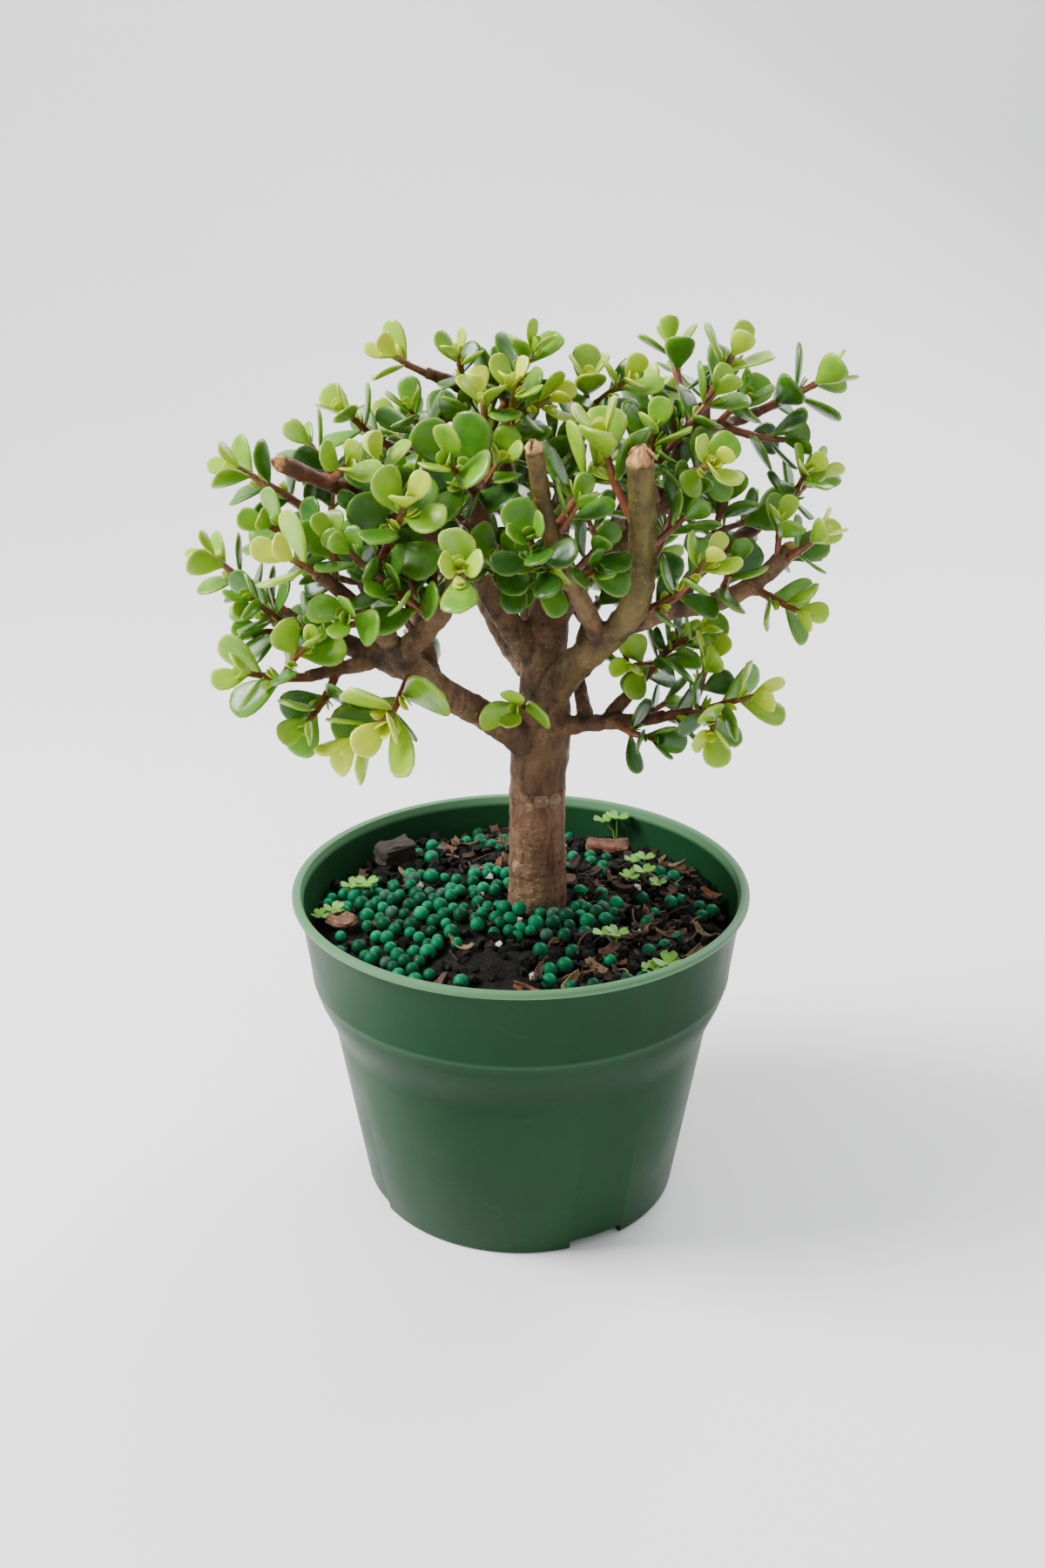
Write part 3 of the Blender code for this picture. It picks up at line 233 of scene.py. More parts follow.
# Leafy shoots: name, limb, share of the way along it, tip (x, y, z) in mm, pairs of leaves,
# full leaf length in mm, turn of the tip pair in degrees, lime share of its colour
SHOOTS = (
    # left side, front to back
    ("shoot_left_front_rosette", "left_front", 1.0, (-69, -62, 257), 3, 20.1, 20, 0.75),
    ("shoot_left_front_under", "left_front", 0.55, (-52, -66, 240), 3, 17.8, 70, 0.30),
    ("shoot_middle_left_rosette", "left_high", 0.45, (-34, -56, 272), 4, 19.0, 35, 0.55),
    ("shoot_left_drooping", "left_limb", 0.86, (-41, -68, 207), 3, 24.5, 30, 0.80),
    ("shoot_left_low_tip", "left_thin", 1.0, (-84, -60, 220), 3, 19.5, 50, 0.45),
    ("shoot_left_low_under", "left_thin", 0.62, (-66, -62, 205), 2, 17.8, 10, 0.35),
    ("shoot_left_far", "left_low", 1.0, (-100, -19, 246), 3, 15.5, 80, 0.60),
    ("shoot_left_far_under", "left_low", 0.60, (-84, -38, 232), 3, 16.1, 25, 0.25),
    ("shoot_left_upper_far", "left_high", 1.0, (-91, -14, 274), 4, 16.7, 60, 0.55),
    ("shoot_left_upper_mid", "left_high", 0.62, (-78, -42, 262), 4, 16.1, 10, 0.30),
    ("shoot_left_cut_leaf", "left_cut", 0.90, (-18, -70, 256), 2, 19.0, 0, 0.55),
    ("shoot_left_inner", "left_cut", 0.45, (-38, -58, 246), 3, 17.2, 60, 0.20),
    ("shoot_twig_base", "front_left_cut", 0.52, (-47, -40, 268), 2, 17.2, 15, 0.15),
    ("shoot_twig_side", "front_left_cut", 0.78, (-52, -52, 283), 2, 14.9, 60, 0.50),
    ("shoot_twig_back", "front_left_cut", 0.70, (-66, -26, 284), 2, 16.1, 20, 0.40),
    # top left and middle
    ("shoot_top_left", "mid_back", 1.0, (-41, 0, 307), 4, 16.1, 30, 0.75),
    ("shoot_top_left_mid", "mid_back", 0.88, (-20, -2, 308), 2, 13.8, 60, 0.60),
    ("shoot_top_middle", "mid_back", 0.70, (4, 7, 308), 4, 17.2, 80, 0.35),
    ("shoot_top_front", "mid_back", 0.60, (-2, -10, 300), 5, 15.5, 40, 0.85),
    ("shoot_left_twig", "left_twig", 1.0, (-58, 0, 290), 4, 15.5, 70, 0.60),
    ("shoot_left_twig_front", "left_twig", 0.60, (-36, 0, 290), 3, 16.1, 20, 0.35),
    ("shoot_middle_left", "mid_left_cut", 0.72, (-22, -36, 280), 3, 23.0, 75, 0.35),
    ("shoot_middle_top", "mid_left_cut", 0.90, (-12, -12, 298), 2, 13.8, 10, 0.90),
    ("shoot_middle_front", "mid_left_cut", 0.42, (-6, -36, 250), 3, 19.5, 50, 0.20),
    ("shoot_trunk_front", "trunk", 0.50, (-1, -23, 195), 2, 18.5, 90, 0.45),
    # right side
    ("shoot_centre_upright", "front_cut", 0.80, (25, -35, 288), 4, 21.8, 80, 0.55),
    ("shoot_centre_left", "middle_cut", 0.62, (24, -28, 278), 4, 21.8, 30, 0.50),
    ("shoot_centre_low", "middle_cut", 0.36, (4, -42, 249), 3, 18.4, 80, 0.15),
    ("shoot_centre_round", "trunk", 1.0, (22, 8, 298), 4, 18.4, 0, 0.60),
    ("shoot_middle_right", "rear_right", 0.60, (42, -16, 286), 5, 18.4, 60, 0.35),
    ("shoot_right_bud", "rear_right", 0.72, (60, -32, 279), 4, 14.4, 40, 0.90),
    ("shoot_top_right", "rear_right", 1.0, (68, -2, 308), 4, 18.4, 20, 0.55),
    ("shoot_top_right_back", "rear_right", 0.92, (49, 16, 309), 4, 14.9, 75, 0.50),
    ("shoot_far_top_right", "top_right", 1.0, (103, 20, 297), 4, 17.2, 65, 0.35),
    ("shoot_far_top_right_low", "top_right", 0.55, (88, 10, 278), 3, 17.2, 20, 0.15),
    ("shoot_right_mid", "front_cut", 0.52, (58, -44, 252), 4, 15.5, 35, 0.65),
    ("shoot_centre_fill", "front_cut", 0.66, (50, -27, 268), 3, 18.4, 20, 0.15),
    ("shoot_right_inner", "right_upper", 0.45, (66, -10, 262), 3, 18.4, 10, 0.15),
    ("shoot_right_upper", "right_upper", 1.0, (99, 11, 266), 4, 16.7, 45, 0.50),
    ("shoot_right_cut", "right_limb", 0.93, (97, -20, 254), 2, 14.4, 70, 0.75),
    ("shoot_right_under", "right_limb", 0.72, (90, -27, 230), 3, 16.1, 10, 0.45),
    ("shoot_right_limb_top", "right_limb", 0.55, (67, -30, 246), 3, 17.2, 50, 0.20),
    ("shoot_low_right_round", "low_right", 0.60, (44, -30, 187), 2, 16.7, 80, 0.05),
    ("shoot_low_right_tip", "low_right", 1.0, (76, -33, 203), 4, 18.4, 25, 0.60),
    ("shoot_low_right_upper", "low_right_rear", 1.0, (54, 2, 213), 4, 15.5, 30, 0.45),
    # rear, which the photograph hides
    ("shoot_rear_left", "left_rear", 1.0, (-52, 22, 256), 4, 17.8, 40, 0.35),
    ("shoot_back_left", "back_left", 1.0, (-44, 56, 274), 4, 19.0, 10, 0.45),
    ("shoot_back_left_low", "back_left", 0.55, (-38, 46, 226), 3, 18.4, 60, 0.30),
    ("shoot_back_middle", "mid_back", 0.35, (-4, 44, 268), 4, 19.0, 30, 0.35),
    ("shoot_back_right", "back_right", 1.0, (48, 68, 282), 4, 19.0, 70, 0.45),
    ("shoot_back_right_low", "back_right", 0.55, (50, 56, 228), 3, 18.4, 20, 0.30),
    ("shoot_right_riser", "right_riser", 1.0, (36, 40, 222), 3, 17.2, 50, 0.25),
)

# Side twigs of the shoots: shoot, share of the way along its stem, tip in mm, pairs, leaf length in mm, turn
TWIGS = (
    ("shoot_centre_low", 0.55, (3, -58, 262), 2, 18.0, 30),
    ("shoot_top_front", 0.55, (10, -6, 294), 2, 15.0, 10),
    ("shoot_centre_round", 0.45, (34, -4, 300), 2, 17.0, 60),
    ("shoot_right_inner", 0.40, (78, -2, 254), 2, 17.0, 70),
    ("shoot_middle_right", 0.45, (62, -10, 297), 2, 17.0, 20),
    ("shoot_left_far_under", 0.45, (-84, -46, 240), 2, 15.5, 60),
    ("shoot_left_inner", 0.50, (-52, -58, 258), 2, 16.0, 10),
    ("shoot_left_twig_front", 0.40, (-20, 2, 289), 3, 16.0, 80),
    ("shoot_middle_front", 0.50, (10, -38, 246), 2, 18.0, 20),
    ("shoot_middle_left_rosette", 0.45, (-44, -38, 282), 2, 16.0, 60),
    ("shoot_left_drooping", 0.60, (-52, -62, 199), 2, 22.0, 60),
    ("shoot_low_right_tip", 0.55, (62, -42, 194), 2, 16.5, 10),
    ("shoot_low_right_tip", 0.30, (62, -20, 212), 2, 16.0, 60),
    ("shoot_low_right_upper", 0.45, (38, -14, 207), 2, 15.5, 10),
    ("shoot_low_right_upper", 0.65, (60, -10, 218), 2, 15.0, 70),
    ("shoot_left_low_tip", 0.40, (-66, -58, 229), 2, 17.5, 40),
    ("shoot_right_upper", 0.40, (94, -2, 270), 2, 14.5, 20),
)
CHIPS = (  # name, x, y, turn in degrees, length, width, thickness, mm
    ("bark_chip_dark", -48.5, 38.5, 32.0, 17.0, 12.0, 9.0),
    ("bark_chip_red", 34.0, 50.0, -8.0, 19.0, 10.0, 4.0),
    ("bark_chip_left", -64.0, -12.0, -35.0, 13.0, 9.0, 4.5),
)
WEEDS = (  # name, x, y, height above the mix, leaflet length, mm, turn in degrees
    ("clover_right", 33.0, -35.0, 7.0, 4.6, 10.0),
    ("clover_left", -57.0, 10.0, 6.0, 5.0, 30.0),
)


def pick(obj):
    """Make one object the only selected and active one."""
    bpy.ops.object.select_all(action="DESELECT")
    obj.select_set(True)
    bpy.context.view_layer.objects.active = obj


def open_mesh():
    """Into edit mode, with everything selected."""
    bpy.ops.object.mode_set(mode="EDIT")
    bpy.ops.mesh.select_all(action="SELECT")


def close_mesh():
    bpy.ops.object.mode_set(mode="OBJECT")


def select_where(obj, test):
    """In edit mode, select the vertices that pass a test of their place."""
    places = [vert.co.copy() for vert in bmesh.from_edit_mesh(obj.data).verts]
    select_numbers(obj, [number for number, place in enumerate(places) if test(place)])


def select_numbers(obj, numbers):
    """In edit mode, select vertices by number."""
    bm = bmesh.from_edit_mesh(obj.data)
    bm.verts.ensure_lookup_table()
    bpy.ops.mesh.select_all(action="DESELECT")
    for number in numbers:
        bm.verts[number].select_set(True)
    bm.select_flush_mode()
    bmesh.update_edit_mesh(obj.data)


def apply_all(obj):
    pick(obj)
    for modifier in list(obj.modifiers):
        bpy.ops.object.modifier_apply(modifier=modifier.name)


def settle(obj):
    """Put an object's place into its mesh."""
    pick(obj)
    bpy.ops.object.transform_apply(location=True, rotation=True, scale=True)


def newest(name):
    """The object just added, named and settled."""
    obj = bpy.context.object
    obj.name = name
    settle(obj)
    return obj


def drop(objects):
    for obj in objects:
        bpy.data.objects.remove(obj, do_unlink=True)


def finish_piece(obj, mat, nodes, angle=None):
    """Give a piece its look, attach it to the root body, and hide the solids it stands for."""
    obj.data.materials.clear()
    obj.data.materials.append(mat)
    for poly in obj.data.polygons:
        poly.use_smooth = True
        poly.material_index = 0
    if angle is not None:
        pick(obj)
        bpy.ops.object.shade_smooth_by_angle(angle=math.radians(angle))
    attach(obj, "root")
    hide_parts(*nodes)


def join(objects, name):
    bpy.ops.object.select_all(action="DESELECT")
    for obj in objects:
        obj.select_set(True)
    bpy.context.view_layer.objects.active = objects[0]
    if len(objects) > 1:
        bpy.ops.object.join()
    objects[0].name = name
    objects[0].data.name = name
    return objects[0]


def tint(obj, values):
    """Give every vertex its own colour (r, g, b, a), or all of them one."""
    layer = obj.data.color_attributes.new("tint", "FLOAT_COLOR", "POINT")
    data = np.asarray(values, dtype=np.float32)
    if data.ndim == 1:
        data = np.tile(data, (len(obj.data.vertices), 1))
    layer.data.foreach_set("color", data.ravel())


def copy_mesh(source, matrix, name):
    mesh = source.data.copy()
    mesh.transform(matrix)
    obj = bpy.data.objects.new(name, mesh)
    bpy.context.scene.collection.objects.link(obj)
    return obj


# Growth: the same rule and the same tests as the solids, so that every leaf lies where its solid does


def tube(points, sides, flat_end=True, first=None):
    """Round tube in mm through (position, radius) pairs, with frames carried along it."""
    verts, faces = [], []
    count = len(points)
    spots = [Vector(p) for p, _ in points]
    along = []
    for i in range(count):
        a = spots[max(i - 1, 0)]
        b = spots[min(i + 1, count - 1)]
        along.append((b - a).normalized())
    if first is not None:
        along[0] = first
    side = along[0].orthogonal().normalized()
    for i, (_, r) in enumerate(points):
        side = (side - along[i] * side.dot(along[i])).normalized()
        up = along[i].cross(side)
        for k in range(sides):
            a = 2.0 * math.pi * k / sides
            verts.append((spots[i] + (side * math.cos(a) + up * math.sin(a)) * r) * MM)
    for i in range(count - 1):
        for k in range(sides):
            n = (k + 1) % sides
            faces.append((i * sides + k, i * sides + n, (i + 1) * sides + n, (i + 1) * sides + k))
    faces.append(tuple(reversed(range(sides))))
    if flat_end:
        faces.append(tuple((count - 1) * sides + k for k in range(sides)))
    else:
        verts.append((spots[-1] + along[-1] * points[-1][1] * 1.3) * MM)
        for k in range(sides):
            faces.append(((count - 1) * sides + k, (count - 1) * sides + (k + 1) % sides, len(verts) - 1))
    return verts, faces


def limb_at(points, share):
    """Position, direction and radius at a share of a limb's length, mm."""
    spots = [Vector(p[:3]) for p in points]
    lengths = [(b - a).length for a, b in zip(spots, spots[1:])]
    left = share * sum(lengths)
    for i, length in enumerate(lengths):
        if left <= length or i == len(lengths) - 1:
            t = min(left / length, 1.0)
            r = points[i][3] * (1.0 - t) + points[i + 1][3] * t
            return spots[i].lerp(spots[i + 1], t), (spots[i + 1] - spots[i]).normalized(), r
        left -= length


def reach_of(verts):
    """Lowest and highest corner of the box round some points."""
    return [min(v[i] for v in verts) for i in range(3)], [max(v[i] for v in verts) for i in range(3)]


def at_pair(values, k):
    """The value for the pair of leaves k from the tip; the last one serves for all pairs below."""
    return values[min(k, len(values) - 1)]


class Crowd:
    """Keeps what already stands, to test new pieces against."""

    def __init__(self):
        self.trees = []

    def add(self, verts, faces):
        lows, highs = reach_of(verts)
        self.trees.append((lows, highs, BVHTree.FromPolygons([tuple(v) for v in verts], faces)))

    def hits(self, verts, faces, skip=-1):
        lows, highs = reach_of(verts)
        tree = None
        for number, (low, high, other) in enumerate(self.trees):
            if number == skip or any(lows[i] > high[i] or highs[i] < low[i] for i in range(3)):
                continue
            if tree is None:
                tree = BVHTree.FromPolygons([tuple(v) for v in verts], faces)
            if tree.overlap(other):
                return True
        return False


def leaf_mesh(root, aim, face, length, grow=0.0):
    """Thick obovate leaf in mm: root on the stem's axis, aim along it, face its upper side."""
    across = aim.cross(face).normalized()
    up = across.cross(aim).normalized()
    half = LEAF_HALF_WIDTH * length
    thick = LEAF_HALF_THICK + grow
    outline = list(LEAF_OUTLINE) + [(s, -w) for s, w in reversed(LEAF_OUTLINE)]
    verts = []
    for s, w in outline:
        reach = s * length + (grow if s > 0.5 else 0.0)
        wide = w * half + math.copysign(grow, w)
        verts.append(root + aim * reach + across * wide + up * (0.10 * length * s * s + 0.16 * abs(w) * half))
    middle = root + aim * (0.55 * length) + up * (0.03 * length)
    verts += [middle + up * (thick + 0.04 * half), middle - up * thick]
    count = len(outline)
    faces = []
    for k in range(count):
        n = (k + 1) % count
        faces += [(k, n, count), (n, k, count + 1)]
    return [v * MM for v in verts], faces


def shoot_route(start, heading, tip):
    """Quadratic curve from a stub to the tip: leaves along the heading and rises at the end."""
    span = (tip - start).length
    mid = start + heading * (span * 0.40) + Vector((0.0, 0.0, -0.04 * span))
    mid = mid.lerp((start + tip) / 2.0, 0.45)
    steps = 2
    out = []
    for i in range(steps + 1):
        t = i / steps
        out.append(start * (1 - t) ** 2 + mid * (2 * t * (1 - t)) + tip * t * t)
    return out


def along_route(route, back):
    """Point and direction at a distance back from the tip of a route."""
    left = back
    for i in range(len(route) - 1, 0, -1):
        length = (route[i] - route[i - 1]).length
        if left <= length or i == 1:
            spot = route[i].lerp(route[i - 1], min(left / length, 1.0))
            return spot, (route[i] - route[i - 1]).normalized()
        left -= length


def place_leaf(point, along, bearing, opening, length, crowd, own, own_stem):
    """Find a clear pose for one leaf near its pair's bearing. Returns its mesh, blade and pose, or None."""
    side = along.orthogonal().normalized()
    if abs(along.z) < 0.98:
        side = along.cross(Vector((0.0, 0.0, 1.0))).normalized()
    for size in (1.0, 0.86, 0.72):
        for pitch in (0.0, -14.0, 14.0, -28.0, 24.0):
            for swing in (0.0, 16.0, -16.0, 32.0, -32.0, 48.0, -48.0):
                out = Matrix.Rotation(math.radians(bearing + swing), 3, along) @ side
                lean = math.radians(min(max(opening + pitch, 12.0), 100.0))
                aim = (along * math.cos(lean) + out * math.sin(lean)).normalized()
                outward = (point - CANOPY_MIDDLE).normalized()
                face = (along * math.sin(lean) - out * math.cos(lean)) + outward * 0.9
                root = point + out * 0.35
                whole = leaf_mesh(root, aim, face, length * size, GAP)
                blade = leaf_mesh(root + aim * 2.2, aim, face, length * size - 2.2, GAP)
                if not crowd.hits(*whole, skip=own_stem) and not own.hits(*blade):
                    pose = (root, aim, face, length * size)
                    return leaf_mesh(*pose), blade, pose
    return None


def make_stem(row, limbs, crowd):
    """Stub, stem and side twigs of one shoot."""
    name, limb, share, tip, pairs, leaf, turn = row[:7]
    spot, heading, radius = limb_at(limbs[limb], share)
    stub = None
    if share < 1.0:
        toward = (Vector(tip) - spot).normalized()
        flat = toward - heading * toward.dot(heading)
        heading = (flat.normalized() + heading * max(min(toward.dot(heading), 0.5), -0.2)).normalized()
        stub_end = spot + heading * (radius + STUB_PROUD)
        stub = tube([(spot, STUB_R), (stub_end, STUB_R)], 5)
        start = stub_end + heading * GAP
    else:
        start = spot + heading * GAP
    base_r = min(STEM_BASE_R, 1.1 + (Vector(tip) - start).length * 0.022)
    main = clear_stem(start, heading, tip, base_r, crowd, heading)
    branches = [(*main, pairs, leaf, turn)]
    for parent, at, twig_tip, twig_pairs, twig_leaf, twig_turn in TWIGS:
        if parent == name:
            foot, way = along_route(main[1], main[2] * (1.0 - at))
            way = ((Vector(twig_tip) - foot).normalized() + way * 0.3).normalized()
            twig = clear_stem(foot, way, twig_tip, STEM_TIP_R * 1.15, crowd, None, main[3])
            branches.append((*twig, twig_pairs, twig_leaf, twig_turn))
    return stub, branches


def clear_stem(start, heading, tip, base_r, crowd, first, skip=-1):
    """Stem from start to tip, its tip moved a little aside until it is clear. Adds it to the crowd."""
    for shift in STEM_SHIFTS:
        route = shoot_route(start, heading, Vector(tip) + Vector(shift))
        span = sum((b - a).length for a, b in zip(route, route[1:]))
        last = len(route) - 1
        points = [(p, base_r + (STEM_TIP_R - base_r) * i / last) for i, p in enumerate(route)]
        stem = tube(points, 5, flat_end=False, first=first)
        if not crowd.hits(*stem, skip=skip):
            break
    else:
        print("stem is not clear:", tip)
    crowd.add(*stem)
    return stem, route, span, len(crowd.trees) - 1


def soil_height(r, a):
    """Top of the potting mix in mm at a radius and bearing: a low mound with coarse lumps."""
    mound = SOIL_EDGE_Z + SOIL_MOUND * (1.0 - (r / 75.0) ** 1.6)
    lumps = math.sin(r * 0.31 + 2.0 * math.sin(a * 3.0)) * math.cos(a * 7.0 + r * 0.11)
    return mound + 0.9 * lumps


# Materials


class Nodes:
    """A material's node tree, with short calls to add nodes."""

    def __init__(self, name):
        self.mat = bpy.data.materials.new(name)
        self.mat.use_nodes = True
        self.tree = self.mat.node_tree
        self.shader = self.tree.nodes["Principled BSDF"]
        self.coords = self.add("TexCoord").outputs["Object"]

    def put(self, socket, value):
        """Link a value to a socket, or set it there."""
        if isinstance(value, bpy.types.NodeSocket):
            self.tree.links.new(value, socket)
        elif socket.type == "RGBA":
            socket.default_value = (*value, 1.0)
        else:
            socket.default_value = value

    def add(self, kind, **inputs):
        """A new node with its inputs set or linked."""
        node = self.tree.nodes.new("ShaderNode" + kind)
        for name, value in inputs.items():
            self.put(node.inputs[name.replace("_", " ")], value)
        return node

    def noise(self, scale, detail=4.0, rough=0.55, distortion=0.0, coords=None):
        return self.add("TexNoise", Scale=scale, Detail=detail, Roughness=rough, Distortion=distortion,
                        Vector=coords or self.coords).outputs["Fac"]

    def cells(self, scale, coords=None):
        return self.add("TexVoronoi", Scale=scale, Vector=coords or self.coords).outputs["Distance"]

    def stretch(self, x, y, z):
        return self.add("Mapping", Scale=(x, y, z), Vector=self.coords).outputs["Vector"]

    def spread(self, value, low, high, to_low=0.0, to_high=1.0):
        return self.add("MapRange", From_Min=low, From_Max=high, To_Min=to_low, To_Max=to_high,
                        Value=value).outputs["Result"]

    def mix(self, share, a, b):
        node = self.add("Mix")
        node.data_type = "RGBA"
        colors = [s for s in node.inputs if s.type == "RGBA"]
        factor = [s for s in node.inputs if s.name == "Factor" and s.type == "VALUE"][0]
        for socket, value in ((factor, share), (colors[0], a), (colors[1], b)):
            self.put(socket, value)
        return [s for s in node.outputs if s.type == "RGBA"][0]

    def math(self, operation, a, b=0.0):
        node = self.add("Math")
        node.operation = operation
        for socket, value in zip(node.inputs, (a, b)):
            self.put(socket, value)
        return node.outputs["Value"]

    def times(self, a, b):
        return self.math("MULTIPLY", a, b)

    def tint(self):
        """The tint that each vertex of a piece carries."""
        node = self.add("Attribute")
        node.attribute_name = "tint"
        return node.outputs

    def channels(self, color):
        node = self.add("SeparateColor", Color=color)
        return node.outputs["Red"], node.outputs["Green"], node.outputs["Blue"]

    def bump(self, height, strength, distance):
        node = self.add("Bump", Strength=strength, Distance=distance, Height=height)
        self.put(self.shader.inputs["Normal"], node.outputs["Normal"])

    def height(self):
        return self.add("SeparateXYZ", Vector=self.coords).outputs["Z"]

    def finish(self, color, roughness, **constants):
        for name, value in {"Base_Color": color, "Roughness": roughness, **constants}.items():
            self.put(self.shader.inputs[name.replace("_", " ")], value)
        return self.mat


def leaf_material():
    """Fleshy leaf: dark to lime by the leaf's own tone, with a paler margin, and red-brown stems."""
    n = Nodes("leaf_skin")
    own = n.tint()
    tone, edge, along = n.channels(own["Color"])
    ramp = n.add("ValToRGB")
    ramp.color_ramp.elements[0].position = 0.0
    ramp.color_ramp.elements[0].color = (0.016, 0.085, 0.005, 1.0)
    ramp.color_ramp.elements[1].position = 1.0
    ramp.color_ramp.elements[1].color = (0.590, 0.670, 0.030, 1.0)
    for place, color in ((0.30, (0.096, 0.262, 0.011, 1.0)), (0.60, (0.310, 0.510, 0.018, 1.0))):
        ramp.color_ramp.elements.new(place).color = color
    mottle = n.noise(160.0, 3.0)
    n.put(ramp.inputs["Fac"], n.math("ADD", tone, n.spread(mottle, 0.3, 0.7, -0.07, 0.07)))
    pale = n.mix(0.45, ramp.outputs["Color"], (0.62, 0.74, 0.12))
    margin = n.times(n.spread(edge, 0.66, 0.96), n.spread(tone, 0.15, 0.75, 0.25, 1.0))
    blade = n.mix(margin, ramp.outputs["Color"], pale)
    vein = n.times(n.spread(edge, 0.0, 0.14, 0.40, 0.0), n.spread(along, 0.0, 0.9, 0.9, 0.1))
    blade = n.mix(vein, blade, n.mix(0.5, ramp.outputs["Color"], (0.50, 0.62, 0.13)))
    blade = n.mix(n.spread(along, 0.0, 0.22, 0.55, 0.0), blade, (0.44, 0.54, 0.07))
    bark = n.mix(n.spread(n.noise(240.0, 4.0), 0.35, 0.65), (0.105, 0.026, 0.013), (0.230, 0.075, 0.028))
    fresh = n.mix(n.spread(along, 0.55, 1.0, 0.0, 0.70), bark, (0.32, 0.34, 0.05))
    color = n.mix(own["Alpha"], blade, fresh)
    rough = n.spread(n.noise(220.0, 2.0), 0.3, 0.7, 0.22, 0.36)
    pores = n.noise(900.0, 3.0)
    swells = n.times(n.noise(130.0, 3.0), 0.8)
    n.bump(n.math("ADD", swells, n.times(pores, 0.12)), 0.28, 0.0006)
    return n.finish(color, rough, Subsurface_Weight=0.15, Subsurface_Scale=0.002, Specular_IOR_Level=0.40)


def bark_material():
    """Tan bark with fine wrinkles, pits and pale flecks; young limbs carry a green or red skin; painted shade
    darkens the crevices where limbs meet.
    """
    n = Nodes("bark_skin")
    own = n.tint()
    green, red, scars = n.channels(own["Color"])
    z = n.height()
    streaks = n.noise(150.0, 8.0, 0.66, 0.6, n.stretch(1.0, 1.0, 0.45))
    wrinkles = n.noise(210.0, 6.0, 0.6, 0.5, n.stretch(0.35, 0.35, 1.6))
    patches = n.noise(42.0, 5.0, 0.6, 0.4)
    fine = n.noise(700.0, 6.0, 0.65)
    base = n.mix(n.spread(streaks, 0.36, 0.62), (0.062, 0.030, 0.013), (0.225, 0.122, 0.054))
    base = n.mix(n.spread(patches, 0.50, 0.66, 0.0, 0.60), base, (0.380, 0.235, 0.115))
    base = n.mix(n.spread(patches, 0.36, 0.46, 0.45, 0.0), base, (0.050, 0.023, 0.011))
    low = n.spread(z, 0.150, 0.158, 1.0, 0.0)
    russet = n.mix(n.spread(streaks, 0.4, 0.6), (0.130, 0.052, 0.030), (0.270, 0.125, 0.074))
    base = n.mix(n.times(low, 0.45), base, russet)
    moss = n.times(n.spread(z, 0.112, 0.130, 1.0, 0.0), n.spread(patches, 0.44, 0.56, 0.0, 0.65))
    base = n.mix(moss, base, (0.110, 0.100, 0.035))
    flecks = n.times(n.spread(n.cells(420.0), 0.05, 0.20, 0.75, 0.0), n.spread(patches, 0.42, 0.58))
    base = n.mix(flecks, base, (0.560, 0.400, 0.260))
    pits = n.times(n.spread(n.cells(300.0, coords=n.stretch(1.0, 1.0, 0.6)), 0.0, 0.22, 0.75, 0.0),
                  n.spread(streaks, 0.60, 0.45))
    base = n.mix(pits, base, (0.030, 0.016, 0.011))
    base = n.mix(n.spread(fine, 0.58, 0.40, 0.0, 0.30), base, (0.045, 0.022, 0.013))
    scar_color = n.mix(n.spread(fine, 0.40, 0.60), (0.240, 0.140, 0.078), (0.470, 0.320, 0.190))
    base = n.mix(n.spread(scars, 0.10, 0.60, 0.0, 0.60), base, scar_color)
    olive = n.mix(n.spread(streaks, 0.38, 0.62), (0.055, 0.044, 0.004), (0.122, 0.098, 0.008))
    olive = n.mix(n.times(flecks, 0.6), olive, (0.250, 0.215, 0.070))
    wine = n.mix(n.spread(streaks, 0.38, 0.62), (0.062, 0.017, 0.009), (0.150, 0.040, 0.018))
    color = n.mix(n.times(green, 0.90), base, olive)
    color = n.mix(n.times(red, 0.90), color, wine)
    # painted shade: the crevice share in the tint's alpha darkens the bark where limbs meet
    color = n.mix(n.times(own["Alpha"], 0.80), color, (0.020, 0.010, 0.006))
    height = n.math("ADD", n.times(streaks, 0.9), n.times(wrinkles, 0.8))
    height = n.math("ADD", height, n.times(fine, 0.35))
    height = n.math("SUBTRACT", height, n.times(pits, 0.6))
    skin = n.spread(n.math("ADD", green, red), 0.0, 1.0)
    height = n.times(height, n.math("SUBTRACT", 1.0, n.times(skin, 0.72)))
    n.bump(height, 1.0, 0.0016)
    rough = n.math("SUBTRACT", n.spread(streaks, 0.3, 0.7, 0.85, 0.60), n.times(skin, 0.22))
    return n.finish(color, rough, Specular_IOR_Level=0.35)


def cut_material():
    """Dried cut wood: orange tan on its lobes, with painted shade where it sinks."""
    n = Nodes("cut_wood")
    grain = n.noise(260.0, 5.0, 0.6, 0.6)
    color = n.mix(n.spread(grain, 0.35, 0.65), (0.500, 0.235, 0.060), (0.900, 0.500, 0.165))
    # painted shade from the tint: dark where the plug sinks
    color = n.mix(n.tint()["Color"], (0.055, 0.026, 0.014), color)
    color = n.mix(n.spread(n.cells(420.0), 0.0, 0.22, 0.5, 0.0), color, (0.120, 0.060, 0.035))
    n.bump(grain, 1.0, 0.0012)
    return n.finish(color, 0.68)


